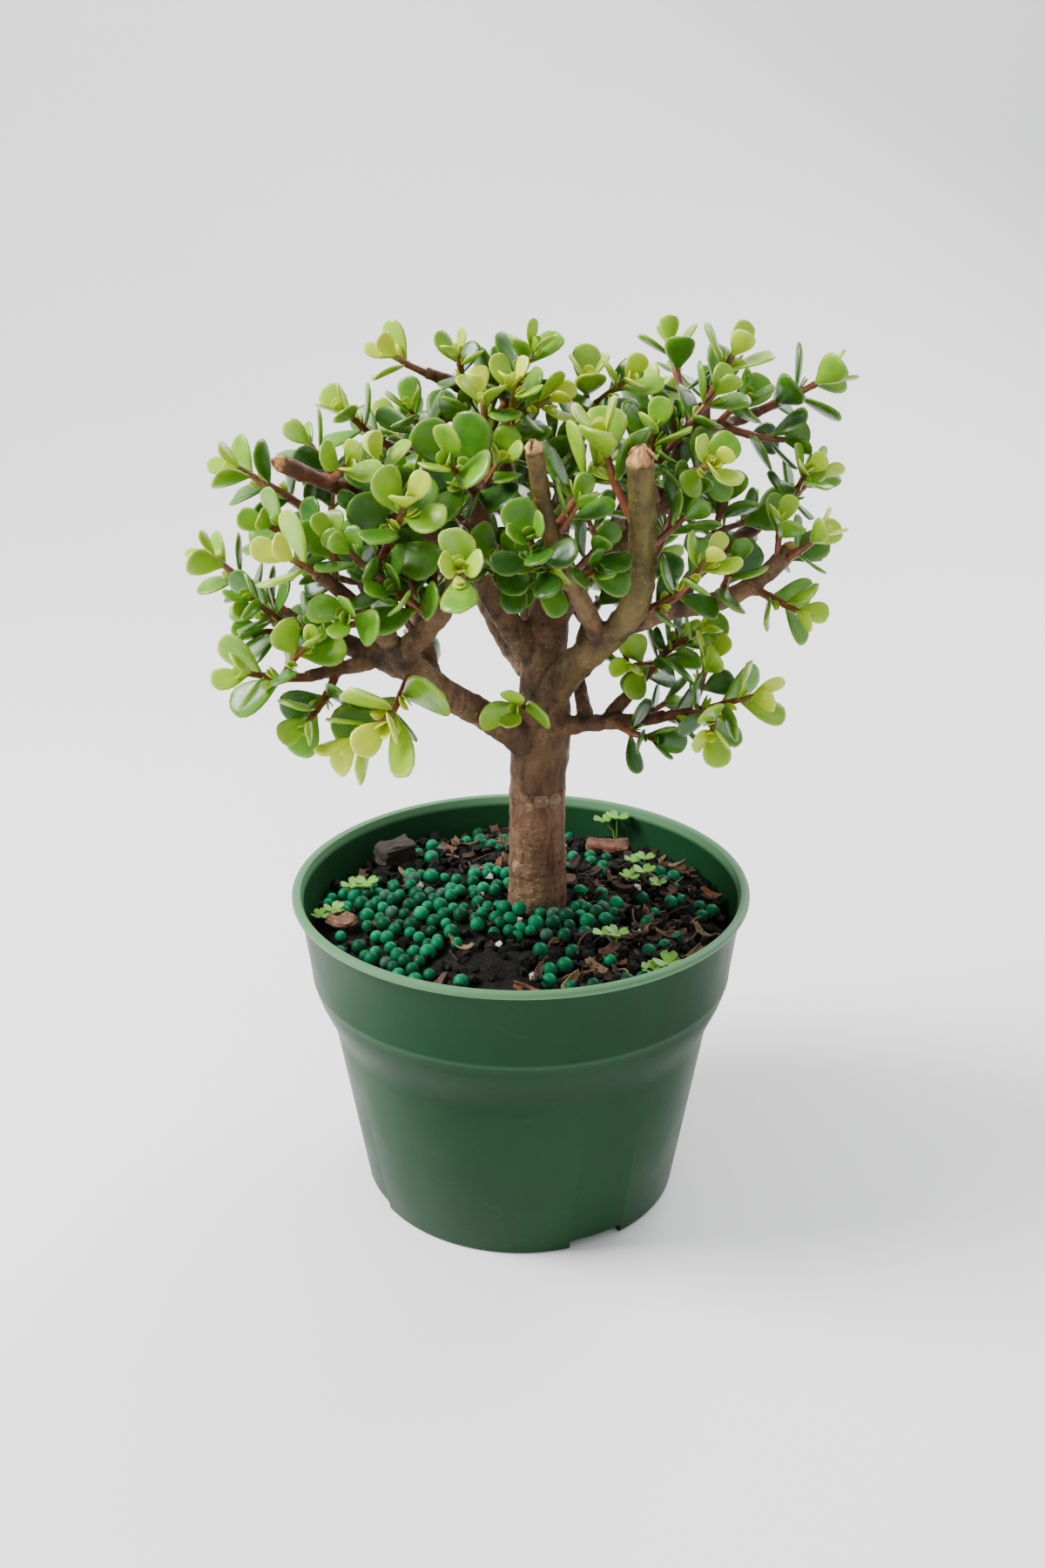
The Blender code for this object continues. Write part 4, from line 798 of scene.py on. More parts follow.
def pot_material():
    """Moulded green plastic: a paler rolled lip that is a painted highlight, a band of painted shade below
    the bead, fine specks, soft scuffs.
    """
    n = Nodes("pot_plastic")
    z = n.height()
    wash = n.noise(16.0, 4.0, 0.5)
    green = n.mix(n.spread(wash, 0.35, 0.65), (0.0060, 0.036, 0.0115), (0.0085, 0.045, 0.0150))
    # painted highlight: the rolled lip at the top is mixed toward a paler green
    lip = n.spread(z, 0.1162, 0.1176)
    color = n.mix(lip, green, (0.090, 0.210, 0.100))
    line = n.spread(n.math("ABSOLUTE", n.math("SUBTRACT", z, 0.0886)), 0.0003, 0.0010, 0.30, 0.0)
    color = n.mix(line, color, (0.060, 0.140, 0.075))
    # painted shade: a band below the bead is darkened to hold back the floor's bounce light on the inward
    # curve
    under = n.times(n.spread(z, 0.064, 0.0725), n.spread(z, 0.0868, 0.0765))
    color = n.mix(n.times(under, 0.62), color, (0.0028, 0.0235, 0.0070))
    scuffs = n.spread(n.noise(70.0, 8.0, 0.72, 1.2, n.stretch(1.0, 1.0, 2.4)), 0.60, 0.74, 0.0, 0.30)
    low = n.times(scuffs, n.spread(z, 0.0, 0.07, 1.0, 0.35))
    color = n.mix(low, color, (0.070, 0.130, 0.080))
    specks = n.spread(n.cells(520.0), 0.0, 0.07, 0.45, 0.0)
    color = n.mix(n.times(specks, n.spread(wash, 0.45, 0.6)), color, (0.160, 0.210, 0.150))
    sheen = n.spread(n.noise(38.0, 6.0, 0.6), 0.3, 0.7, 0.34, 0.46)
    rough = n.math("ADD", sheen, n.times(scuffs, 0.5))
    n.bump(n.noise(620.0, 3.0), 0.12, 0.0004)
    return n.finish(color, rough, Specular_IOR_Level=0.09)


def soil_material():
    n = Nodes("mix_dark")
    grit = n.noise(420.0, 7.0, 0.7)
    color = n.mix(n.spread(grit, 0.38, 0.68), (0.0025, 0.0028, 0.0024), (0.020, 0.018, 0.014))
    n.bump(grit, 1.0, 0.0018)
    return n.finish(color, 0.78, Specular_IOR_Level=0.12)


def tinted_material(name, roughness, grit_scale, bump, spec=0.4, dirt=0.62):
    """Colour from the piece's own tint, broken up by noise."""
    n = Nodes(name)
    color = n.tint()["Color"]
    grit = n.noise(grit_scale, 5.0, 0.6)
    dark = n.mix(dirt, color, (0.004, 0.004, 0.004))
    shade_color = n.mix(n.spread(grit, 0.32, 0.60), dark, color)
    n.bump(grit, bump, 0.0008)
    return n.finish(shade_color, roughness, Specular_IOR_Level=spec)


def floor_material():
    n = Nodes("floor_pale")
    color = n.mix(n.spread(n.noise(3.0, 2.0), 0.3, 0.7), (0.93, 0.93, 0.915), (0.95, 0.95, 0.935))
    return n.finish(color, 0.55)


# Pot


def lathe(name, profile, sides):
    """Turn a profile in mm by drawing a circle out ring by ring."""
    r0, z0 = profile[0]
    bpy.ops.mesh.primitive_circle_add(vertices=sides, radius=r0 * MM, location=(0.0, 0.0, z0 * MM))
    obj = newest(name)
    open_mesh()
    bpy.ops.mesh.edge_face_add()
    for (r1, z1), (r2, z2) in zip(profile, profile[1:]):
        bpy.ops.mesh.extrude_region_move(TRANSFORM_OT_translate={"value": (0.0, 0.0, (z2 - z1) * MM)})
        k = r2 / r1
        bpy.ops.transform.resize(value=(k, k, 1.0), center_override=(0.0, 0.0, z2 * MM))
    bpy.ops.mesh.select_all(action="SELECT")
    bpy.ops.mesh.normals_make_consistent(inside=False)
    close_mesh()
    return obj


def make_pot():
    """The pot, with its notches cut from the foot."""
    pot = lathe("nursery_pot", POT_OUTSIDE + POT_INSIDE, POT_SIDES)
    cutters = []
    for bearing in NOTCH_BEARINGS:
        a = math.radians(bearing)
        spot = (NOTCH_R * MM * math.sin(a), -NOTCH_R * MM * math.cos(a), 0.001)
        bpy.ops.mesh.primitive_cube_add(size=1.0, location=spot, rotation=(0.0, 0.0, a))
        cube = bpy.context.object
        cube.scale = tuple(v * MM for v in NOTCH_SIZE)
        settle(cube)
        open_mesh()
        select_where(cube, lambda co: co.z > 0.0)
        bpy.ops.mesh.bevel(offset=0.0009, segments=2)
        close_mesh()
        cutters.append(cube)
    cutter = join(cutters, "notch_cutter")
    step = pot.modifiers.new("notches", "BOOLEAN")
    step.operation = "DIFFERENCE"
    step.solver = "EXACT"
    step.object = cutter
    apply_all(pot)
    drop([cutter])
    finish_piece(pot, pot_material(), ("pot",), angle=32.0)


# Wood


def smooth_route(points, step=1.6):
    """Rounded path through a limb's points: rows of x, y, z, radius and share of its length."""
    rows = []
    count = len(points)
    lengths = [0.0]
    for a, b in zip(points, points[1:]):
        lengths.append(lengths[-1] + math.dist(a[:3], b[:3]))
    for i in range(count - 1):
        around = (max(i - 1, 0), i, i + 1, min(i + 2, count - 1))
        p0, p1, p2, p3 = (np.array(points[j], float) for j in around)
        parts = max(2, int((lengths[i + 1] - lengths[i]) / step))
        for k in range(parts + (1 if i == count - 2 else 0)):
            t = k / parts
            row = 0.5 * (2 * p1 + (p2 - p0) * t + (2 * p0 - 5 * p1 + 4 * p2 - p3) * t * t
                         + (3 * p1 - p0 - 3 * p2 + p3) * t ** 3)
            share = (lengths[i] + (lengths[i + 1] - lengths[i]) * t) / lengths[-1]
            rows.append((*row, share))
    return rows


def rod(name, rows, sides=5):
    """A rounded rod from a bevelled curve, with its own radius at every point."""
    curve = bpy.data.curves.new(name, "CURVE")
    curve.dimensions = "3D"
    curve.bevel_depth = MM
    curve.bevel_resolution = sides
    curve.use_fill_caps = True
    spline = curve.splines.new("POLY")
    spline.points.add(len(rows) - 1)
    for point, row in zip(spline.points, rows):
        point.co = (row[0] * MM, row[1] * MM, row[2] * MM, 1.0)
        point.radius = row[3]
    obj = bpy.data.objects.new(name, curve)
    bpy.context.scene.collection.objects.link(obj)
    pick(obj)
    bpy.ops.object.convert(target="MESH")
    return bpy.context.object


def wood_rods(stems):
    """Rods for the trunk, limbs and stubs, and samples along the limbs: place, radius, skin, limb."""
    draw = random.Random(5)
    rods, samples = [], []
    half_step = LIMB_RING_STEP / 2.0
    for name, _, points in LIMBS:
        rows = smooth_route(points)
        phase = 0.0 if name == "trunk" else draw.uniform(0.0, LIMB_RING_STEP)
        travelled, shaped = 0.0, []
        green, red = LIMB_SKIN[name]
        for i, row in enumerate(rows):
            if i:
                travelled += math.dist(row[:3], rows[i - 1][:3])
            if name == "trunk":
                rings = [rise * max(0.0, 1.0 - abs(row[2] - at) / half) for at, half, rise in RIDGES]
                r = row[3] + sum(rings)
            else:
                near = abs((travelled + phase) % LIMB_RING_STEP - half_step) / half_step
                r = row[3] * (1.0 + 0.085 * max(0.0, 1.0 - near * 3.0))
                r *= 1.0 + 0.045 * noise.noise(Vector(row[:3]) * 0.09)
            shaped.append((*row[:3], r))
            share = min(1.0, 1.5 * row[4])
            samples.append((*row[:4], green * share, red * share, len(rods)))
        rods.append(rod("limb_" + name, shaped))
    for stub, _ in stems:
        if stub is not None:
            half = len(stub[0]) // 2
            a = sum(stub[0][:half], Vector()) / half / MM
            b = sum(stub[0][half:], Vector()) / half / MM
            wide = STUB_R * 1.1
            rods.append(rod("stub", [(*a, wide), (*a.lerp(b, 0.8), wide), (*b, STUB_R * 0.8)], 3))
    return rods, samples


def wood_tones(spots, samples):
    """Shares of green skin, red skin and crevice at every vertex of the wood, from the limbs near it; the
    crevice share also darkens the bark as painted shade.
    """
    tree = kdtree.KDTree(len(samples))
    for i, sample in enumerate(samples):
        tree.insert(Vector(sample[:3]) * MM, i)
    tree.balance()
    colors = np.zeros((len(spots), 4), np.float32)
    for i, spot in enumerate(spots):
        total, green, red, surfaces = 0.0, 0.0, 0.0, {}
        for rank, (_, index, distance) in enumerate(tree.find_n(spot, 8)):
            _, _, _, r, limb_green, limb_red, limb = samples[index]
            surfaces[limb] = min(surfaces.get(limb, 99.0), abs(distance / MM - r))
            if rank < 3:
                weight = 1.0 / max(distance - r * 0.9 * MM, 0.0004)
                green += weight * limb_green
                red += weight * limb_red
                total += weight
        colors[i, :2] = green / total, red / total
        if len(surfaces) > 1:
            colors[i, 3] = max(0.0, 1.0 - sorted(surfaces.values())[1] / 1.3)
    return colors


def make_wood(stems):
    """One skin grown over all the rods, roughened, with scars and rings."""
    rods, samples = wood_rods(stems)
    wood = join(rods, "bark_and_limbs")
    step = wood.modifiers.new("grow_together", "REMESH")
    step.mode = "VOXEL"
    step.voxel_size = WOOD_VOXEL
    soften = wood.modifiers.new("soften", "SMOOTH")
    soften.factor = 0.5
    soften.iterations = 2
    for name, size, strength in (("lumps", 0.009, 0.0012), ("bark", 0.0026, 0.0007)):
        texture = bpy.data.textures.new(name, "CLOUDS")
        texture.noise_scale = size
        texture.noise_depth = 2
        push = wood.modifiers.new(name, "DISPLACE")
        push.texture = texture
        push.texture_coords = "LOCAL"
        push.strength = strength
        push.mid_level = 0.55
    apply_all(wood)
    count = len(wood.data.vertices)
    spots, normals = np.zeros(count * 3, np.float32), np.zeros(count * 3, np.float32)
    wood.data.vertices.foreach_get("co", spots)
    wood.data.vertex_normals.foreach_get("vector", normals)
    spots, normals = spots.reshape(-1, 3), normals.reshape(-1, 3)
    colors = wood_tones(spots, samples)
    spots -= normals * colors[:, 3:4] * (CREVICE_DEPTH * MM)
    for x, y, z, r, rise in SCARS:
        away = np.linalg.norm(spots / MM - np.array((x, y, z)), axis=1)
        inside = away < r
        colors[inside, 2] = 1.0
        push = rise * np.cos(0.5 * math.pi * away[inside] / r) * MM
        spots[inside] += normals[inside] * push[:, None]
    for at, half, _ in RIDGES[:2]:
        for i in np.nonzero(np.abs(spots[:, 2] / MM - at) < half)[0]:
            fleck = 0.28 * (0.5 + noise.noise(Vector(spots[i]) * 300.0))
            colors[i, 2] = max(colors[i, 2], fleck)
    wood.data.vertices.foreach_set("co", spots.astype(np.float32).ravel())
    wood.data.update()
    tint(wood, colors)
    finish_piece(wood, bark_material(), ("trunk_and_limbs",))


def make_cut_ends(limbs):
    """Dried cut ends: a shrunken, pinched plug modelled once and set on each cut limb."""
    bpy.ops.mesh.primitive_cylinder_add(vertices=24, radius=1.0, depth=1.0, end_fill_type="NGON")
    plug = newest("cut_plug")
    open_mesh()
    for scale, rise in ((0.96, 0.18), (0.97, 0.30), (0.72, 0.32), (0.62, 0.20), (0.55, 0.22)):
        top = max(v.co.z for v in bmesh.from_edit_mesh(plug.data).verts)
        select_where(plug, lambda co, top=top: co.z > top - 0.001)
        bpy.ops.mesh.extrude_region_move(TRANSFORM_OT_translate={"value": (0.0, 0.0, rise)})
        bpy.ops.transform.resize(value=(scale, scale, 1.0), center_override=(0.05, 0.0, 0.0))
    bpy.ops.mesh.select_all(action="SELECT")
    bpy.ops.mesh.normals_make_consistent(inside=False)
    close_mesh()
    plug.modifiers.new("round", "SUBSURF").levels = 1
    apply_all(plug)
    mat = cut_material()
    for number, name in enumerate(CUT_ENDS):
        rows = smooth_route(limbs[name])
        last, before = Vector(rows[-1][:3]), Vector(rows[-3][:3])
        way = (last - before).normalized()
        r = rows[-1][3] * 0.94
        turn = way.to_track_quat("Z", "Y").to_matrix().to_4x4() @ Matrix.Rotation(1.7 * number, 4, "Z")
        place = (Matrix.Translation((last - way * r * 0.55) * MM) @ turn
                 @ Matrix.Diagonal((r * MM, r * MM, r * 1.05 * MM, 1.0)))
        cap = copy_mesh(plug, Matrix.Identity(4), "cut_end_" + name)
        tones = []
        for vert in cap.data.vertices:
            a = math.atan2(vert.co.y, vert.co.x)
            lift = min(max(vert.co.z - 0.45, 0.0), 1.0)
            lobes = 0.6 * math.sin(3.0 * a + number) + 0.4 * math.sin(7.0 * a + 2.0 * number)
            k = 1.0 + 0.26 * lift * lobes
            k += 0.16 * noise.noise(vert.co * 2.6 + Vector((7.0 * number, 0.0, 0.0)))
            # painted shade: darker low on the plug and between its lobes, darkest in its middle
            shade = min(1.0, max(0.0, (vert.co.z - 0.34) * 2.2)) * (0.78 + 0.40 * lobes)
            if math.hypot(vert.co.x, vert.co.y) < 0.30:
                shade = 0.10
            vert.co.x, vert.co.y = vert.co.x * k, vert.co.y * k
            vert.co.z += lift * 0.34 * noise.noise(vert.co * 3.1 + Vector((0.0, 5.0 * number, 0.0)))
            # the slit is sunk and painted darkest as shade
            if lift > 0.45 and abs(vert.co.y) < 0.13:
                vert.co.z -= 0.30
                shade = 0.06
            tones.append((shade, shade, shade, 1.0))
        tint(cap, tones)
        cap.data.transform(place)
        finish_piece(cap, mat, ("trunk_and_limbs",))
    drop([plug])


# Leaves


def model_leaf(name, lift, fold):
    """One obovate leaf: its length runs along X from 0 to 1, and its upper side faces +Z."""
    bpy.ops.mesh.primitive_uv_sphere_add(segments=10, ring_count=10, radius=0.5,
                                         rotation=(0.0, math.radians(90.0), 0.0))
    leaf = newest(name)
    open_mesh()
    bpy.ops.transform.translate(value=(0.5, 0.0, 0.0))
    rings = {}
    for vert in bmesh.from_edit_mesh(leaf.data).verts:
        rings.setdefault(round(vert.co.x, 3), []).append(vert.index)
    for ring, (s, w) in zip(sorted(rings), MODEL_OUTLINE):
        now = math.sqrt(max(0.25 - (ring - 0.5) ** 2, 0.0))
        select_numbers(leaf, rings[ring])
        if now > 0.02:
            thick = MODEL_THICK * (0.62 + 0.38 * w) if 0.05 < s < 0.95 else MODEL_THICK_ENDS
            thick *= 1.0 if s > 0.15 else 0.8
            scale = (1.0, w * MODEL_HALF_WIDTH / now, thick / now)
            bpy.ops.transform.resize(value=scale, center_override=(ring, 0.0, 0.0))
        bpy.ops.transform.translate(value=(s - ring, 0.0, lift * s * s))
    close_mesh()
    for vert in leaf.data.vertices:
        wide = abs(vert.co.y) / MODEL_HALF_WIDTH
        vert.co.z += fold * wide * MODEL_HALF_WIDTH
        if vert.normal.z > 0.2 and wide < 0.12 and 0.1 < vert.co.x < 0.85:
            vert.co.z -= MODEL_GROOVE
    return leaf


def leaf_tint(leaf):
    """Margin and length shares of a modelled leaf, before its tone is set."""
    values = np.zeros((len(leaf.data.vertices), 4), np.float32)
    for i, vert in enumerate(leaf.data.vertices):
        s = min(max(vert.co.x, 0.0), 1.0)
        half = MODEL_HALF_WIDTH * min(1.0, max(0.12, math.sin(math.pi * min(s * 0.62 + 0.10, 0.98))))
        values[i, 1] = min(1.0, max(abs(vert.co.y) / half, (s - 0.80) / 0.20))
        values[i, 2] = s
    return values


def make_leaves(branches, crowd):
    """Pairs of leaves from each tip down, each pair a quarter turn from the last."""
    pieces, own, grown = [], Crowd(), []
    for _, route, span, own_stem, pairs, leaf, turn in branches:
        poses, joints = [], []
        back, bearing = 1.0, turn
        for k in range(pairs):
            if back > span - 1.5:
                break
            point, along = along_route(route, back)
            size, opening = leaf * at_pair(PAIR_SIZE, k), at_pair(PAIR_OPEN, k)
            for half in (0.0, 180.0):
                found = place_leaf(point, along, bearing + half, opening, size, crowd, own, own_stem)
                if found is not None:
                    pieces.append(found[0])
                    poses.append((found[2], k))
                    own.add(*found[1])
            joints.append((point, along, bearing))
            back += leaf / 16.0 * at_pair(PAIR_STEP, k)
            bearing += 90.0
        grown.append((poses, joints, back, bearing))
    for piece in pieces:
        crowd.add(*piece)
    return grown


def older_leaves(branches, grown, crowd):
    """Further pairs down the bare part of each stem, where there is room."""
    for (_, route, span, own_stem, _, leaf, _), (poses, joints, back, bearing) in zip(branches, grown):
        while back < span - 1.0:
            point, along = along_route(route, back)
            for half in (0.0, 180.0):
                found = place_leaf(point, along, bearing + half, 70.0, leaf * 0.85, crowd, Crowd(), own_stem)
                if found is not None:
                    crowd.add(*found[0])
                    poses.append((found[2], AGE_AT_BASE))
            joints.append((point, along, bearing))
            back += leaf / 16.0 * 6.5
            bearing += 90.0


def make_sprigs(limbs, crowd, draw):
    """Short side sprigs straight from the limbs, each with two or three pairs, where there is room."""
    sprigs = []
    for name, wanted, begin in SPRIG_LIMBS:
        made = 0
        for _ in range(SPRIG_TRIES):
            if made == wanted:
                break
            spot, way, radius = limb_at(limbs[name], draw.uniform(begin, 0.96))
            side = way.orthogonal().normalized()
            out = (Matrix.Rotation(draw.uniform(-math.pi, math.pi), 3, way) @ side).normalized()
            out = (out + Vector((0.0, 0.0, 0.45)) + (spot - CANOPY_MIDDLE).normalized() * 0.35).normalized()
            leaf, turn = draw.uniform(15.0, 19.5), draw.uniform(0.0, 180.0)
            start = spot + out * (radius + 1.3)
            tip = start + out * draw.uniform(7.0, 11.0) + way * 2.0
            if any(not low < tip[i] < high for i, (low, high) in enumerate(SPRIG_ROOM)):
                continue
            route = [start, tip]
            stem = tube([(start, 1.1), (tip, 0.9)], 5, flat_end=False)
            if crowd.hits(*stem):
                continue
            crowd.add(*stem)
            number, pairs = len(crowd.trees) - 1, draw.choice((2, 2, 3))
            branch = (stem, route, (tip - start).length, number, pairs, leaf, turn)
            grown = make_leaves([branch], crowd)
            if len(grown[0][0]) < 2:
                crowd.trees.pop(len(crowd.trees) - 1 - len(grown[0][0]))
                continue
            made += 1
            sprigs.append((spot, branch, grown[0]))
    return sprigs


def stem_rod(start, route, span, joints, base_r, reach, lime):
    """A stem as a rod that swells where its leaves stand, red at the foot and fresh at the tip."""
    rows = [(*start, base_r)]
    count = 14
    for i in range(count + 1):
        t = i / count
        spot, _ = along_route(route, span * (1.0 - t))
        near = min((spot - joint[0]).length for joint in joints)
        swell = 1.0 + 0.22 * max(0.0, 1.0 - near / 1.4)
        rows.append((*spot, (base_r + (STEM_TIP_R * 0.85 - base_r) * t) * swell))
    stem = rod("stem", rows, 3)
    colors = np.zeros((len(stem.data.vertices), 4), np.float32)
    for i, vert in enumerate(stem.data.vertices):
        far = (vert.co / MM - route[0]).length / max(span, 1.0)
        colors[i] = (0.5, 0.5, min(reach + (1.0 - reach) * far, 1.0) * (0.35 + 0.65 * lime), 1.0)
    tint(stem, colors)
    return stem


def pose_leaf(leaves, shares, pose, k, lime, draw, others, mine):
    """A copy of a modelled leaf in its place, smaller where it would cut another shoot, toned by its age."""
    root, aim, face, length = pose
    which = draw.randrange(len(leaves))
    across = aim.cross(face).normalized()
    up = across.cross(aim).normalized()
    roll = Matrix.Rotation(math.radians(draw.uniform(-10.0, 10.0)), 3, aim)
    across, up = roll @ across, roll @ up
    wide = draw.uniform(0.92, 1.10)
    size = length * LEAF_FIT * MM
    least = size * LEAF_LEAST
    source = leaves[which].data.vertices
    faces = [tuple(poly.vertices) for poly in leaves[which].data.polygons]
    while True:
        rows = [(aim[i] * size, across[i] * size * wide, up[i] * size, root[i] * MM) for i in range(3)]
        place = Matrix(rows + [(0.0, 0.0, 0.0, 1.0)])
        spots = [place @ vert.co for vert in source]
        lows, highs = reach_of(spots)
        inside = all(size_before[0][i] <= lows[i] and highs[i] <= size_before[1][i] for i in range(3))
        if inside and (size < least or not others.hits(spots, faces)):
            break
        size *= 0.94
    mine.append((spots, faces))
    leaf = copy_mesh(leaves[which], place, "leaf")
    values = shares[which].copy()
    age = at_pair(LEAF_AGE, k + 1)
    values[:, 0] = min(1.0, max(0.02, lime * age + 0.20 * age * lime + draw.uniform(-0.07, 0.16)))
    tint(leaf, values)
    return leaf


def bud_frame(way, bearing, lean):
    """Side, aim and face of a bud that leans out from its stem."""
    side = way.cross(Vector((0.0, 0.0, 1.0))).normalized()
    out = Matrix.Rotation(math.radians(bearing), 3, way) @ side
    lean = math.radians(lean)
    return out, way * math.cos(lean) + out * math.sin(lean), way * math.sin(lean) - out * math.cos(lean)


def tip_buds(joint, leaf):
    """The two smallest leaves, closed over a stem's tip."""
    tip, way, bearing = joint
    buds = []
    for half in (90.0, 270.0):
        _, aim, face = bud_frame(way, bearing + half, 24.0)
        buds.append((tip + way * 0.6, aim, face, leaf * 0.30))
    return buds


def axil_buds(joint, leaf, draw):
    """Small fresh leaves in the axils of a pair."""
    point, way, bearing = joint
    buds = []
    for half in (0.0, 180.0):
        if draw.random() < 0.45:
            continue
        for lean, side_up in ((14.0, -1.0), (46.0, 1.0)):
            out, aim, face = bud_frame(way, bearing + half, lean)
            root = point + way * 1.2 + out * 1.0
            buds.append((root, aim, face * side_up, leaf * draw.uniform(0.24, 0.36)))
    return buds


def make_foliage(stems, grown, sprigs):
    """One piece for each shoot: its stems, leaves and buds, and the sprigs that stand nearest to it."""
    leaves = [model_leaf(name, lift, fold) for name, lift, fold in (
        ("leaf_a", 0.10, 0.16), ("leaf_b", 0.16, 0.10), ("leaf_c", 0.05, 0.24))]
    shares = [leaf_tint(leaf) for leaf in leaves]
    mat = leaf_material()
    draw = random.Random(23)
    homes, rods, done = {}, {row[0]: Crowd() for row in SHOOTS}, Crowd()

    def add_rod(owner, branch):
        rods[owner].add([spot * MM for spot in branch[0][0]], branch[0][1])

    for sprig in sprigs:
        nearest = min(SHOOTS, key=lambda row: (Vector(row[3]) - sprig[1][1][-1]).length)
        homes.setdefault(nearest[0], []).append(sprig)
        add_rod(nearest[0], sprig[1])
    for row, (_, branches) in zip(SHOOTS, stems):
        for branch in branches:
            add_rod(row[0], branch)
    for row, (stub, branches), growth in zip(SHOOTS, stems, grown):
        name, lime = row[0], row[7]
        parts, mine, others = [], [], Crowd()
        others.trees = done.trees + [tree for owner in rods if owner != name for tree in rods[owner].trees]

        def add_leaves(poses, older, tone):
            """Leaves at poses with their pair from the tip, toned as if some pairs older."""
            for pose, k in poses:
                parts.append(pose_leaf(leaves, shares, pose, k + older, tone, draw, others, mine))

        for number, (branch, (poses, joints, _, _)) in enumerate(zip(branches, growth)):
            _, route, span, _, _, leaf, _ = branch
            base_r, reach, start = STEM_TIP_R * 1.15, 0.6, route[0]
            if number == 0:
                base_r, reach = min(STEM_BASE_R, 1.1 + span * 0.022), 0.0
                start = route[0] - (route[1] - route[0]).normalized() * 2.0
                if stub is not None:
                    start = sum(stub[0][:5], Vector()) / 5.0 / MM
            parts.append(stem_rod(start, route, span, joints, base_r, reach, lime))
            add_leaves(poses, 0, lime)
            add_leaves([(bud, -1) for bud in tip_buds(joints[0], leaf)], 0, lime)
            for joint in joints[1:] if name != "shoot_trunk_front" else ():
                add_leaves([(bud, 0) for bud in axil_buds(joint, leaf, draw)], 0, lime)
        for spot, branch, (poses, joints, _, _) in homes.get(name, ()):
            _, route, span, _, _, leaf, _ = branch
            tone = max(0.10, lime * 0.6 if route[-1].y > -15.0 else lime * 0.85)
            parts.append(stem_rod(spot, route, span, joints, 1.2, 0.2, tone))
            add_leaves(poses, 1, tone)
            add_leaves([(bud, 0) for bud in tip_buds(joints[0], leaf)], 0, tone)
        for spots, faces in mine:
            done.add(spots, faces)
        foliage = join(parts, "foliage_" + name[6:])
        finish_piece(foliage, mat, (name,))
    drop(leaves)


# Potting mix and what lies on it


def ground(x, y):
    return soil_height(math.hypot(x, y), math.atan2(y, x))


def away_from(patch, x, y):
    """How far a place is from the middle of a patch, 1 at its edge."""
    return math.hypot((x - patch[0]) / patch[2], (y - patch[1]) / patch[3])


def free_of(x, y, gap):
    """Whether a place on the mix is clear of the trunk, the chips and the pot."""
    if math.hypot(x - TRUNK_X, y) < 11.5 + gap or math.hypot(x, y) > SOIL_EDGE_R - gap:
        return False
    return all(math.hypot(x - c[1], y - c[2]) > 0.5 * c[4] + gap for c in CHIPS)


def make_soil():
    """The top of the mix, rough, with a heap of bare dark crumbs."""
    bpy.ops.mesh.primitive_circle_add(vertices=120, radius=SOIL_EDGE_R * MM, fill_type="NGON",
                                      location=(0.0, 0.0, SOIL_EDGE_Z * MM))
    soil = newest("potting_mix")
    open_mesh()
    for _ in range(SOIL_RINGS):
        bpy.ops.mesh.inset(thickness=SOIL_RING_STEP, depth=0.0, use_boundary=True)
    bpy.ops.mesh.poke()
    close_mesh()
    for vert in soil.data.vertices:
        x, y = vert.co.x / MM, vert.co.y / MM
        crumbs = noise.fractal(Vector((x, y, 0.0)) * 0.16, 0.7, 2.2, 4)
        clump = max(0.0, 1.0 - away_from(CLUMP, x, y))
        vert.co.z = (ground(x, y) - 0.5 + (1.1 + 2.4 * clump) * crumbs + 4.0 * min(clump, 0.6)) * MM
        if math.hypot(vert.co.x, vert.co.y) > (SOIL_EDGE_R - 0.4) * MM:
            vert.co.z -= 0.002
    finish_piece(soil, soil_material(), ("soil",))


def scatter(name, bases, count, seed, sizes, chance, color_of, sink, flat=1.0, turn=True, apart=0.0,
            pile=0.0, patience=90):
    """Seeded copies of modelled pieces lying on the mix, joined into one object."""
    draw = random.Random(seed)
    parts, spots, tries = [], [], 0
    while len(parts) < count and tries < count * patience:
        tries += 1
        a, r = draw.uniform(0.0, 2.0 * math.pi), (SOIL_EDGE_R - 2.0) * math.sqrt(draw.random())
        x, y = r * math.cos(a), r * math.sin(a)
        size = draw.uniform(*sizes)
        if draw.random() > chance(x, y) or not free_of(x, y, size * 0.8):
            continue
        if apart and any((x - px) ** 2 + (y - py) ** 2 < (apart * (size + ps)) ** 2 for px, py, ps in spots):
            continue
        spots.append((x, y, size))
        base = draw.choice(bases) if len(bases) > 1 else bases[0]
        spin = Matrix.Identity(3)
        if turn:
            for axis in "XYZ":
                spin = Matrix.Rotation(draw.uniform(-math.pi, math.pi), 3, axis) @ spin
        shape = Matrix.Identity(3) * size
        if flat != 1.0:
            shape = Matrix.Diagonal((size, size * draw.uniform(0.75, 1.0), size * flat))
        lie = Matrix.Rotation(draw.uniform(-math.pi, math.pi), 3, "Z")
        lie = lie @ Matrix.Rotation(draw.uniform(-0.5, 0.5), 3, "X")
        matrix = (lie @ shape @ spin) if flat != 1.0 else (spin @ shape)
        height = ground(x, y) + size * sink + draw.uniform(0.0, pile) * min(1.0, chance(x, y))
        place = Matrix.Translation(Vector((x, y, height)) * MM) @ (matrix * MM).to_4x4()
        piece = copy_mesh(base, place, "bit")
        tint(piece, (*color_of(draw), 1.0))
        parts.append(piece)
    return join(parts, name)


def crumb(seed):
    """A lump of the mix."""
    bpy.ops.mesh.primitive_ico_sphere_add(subdivisions=1, radius=1.0)
    obj = newest("crumb_model")
    open_mesh()
    bpy.ops.transform.vertex_random(offset=0.28, uniform=0.5, seed=seed)
    close_mesh()
    return obj


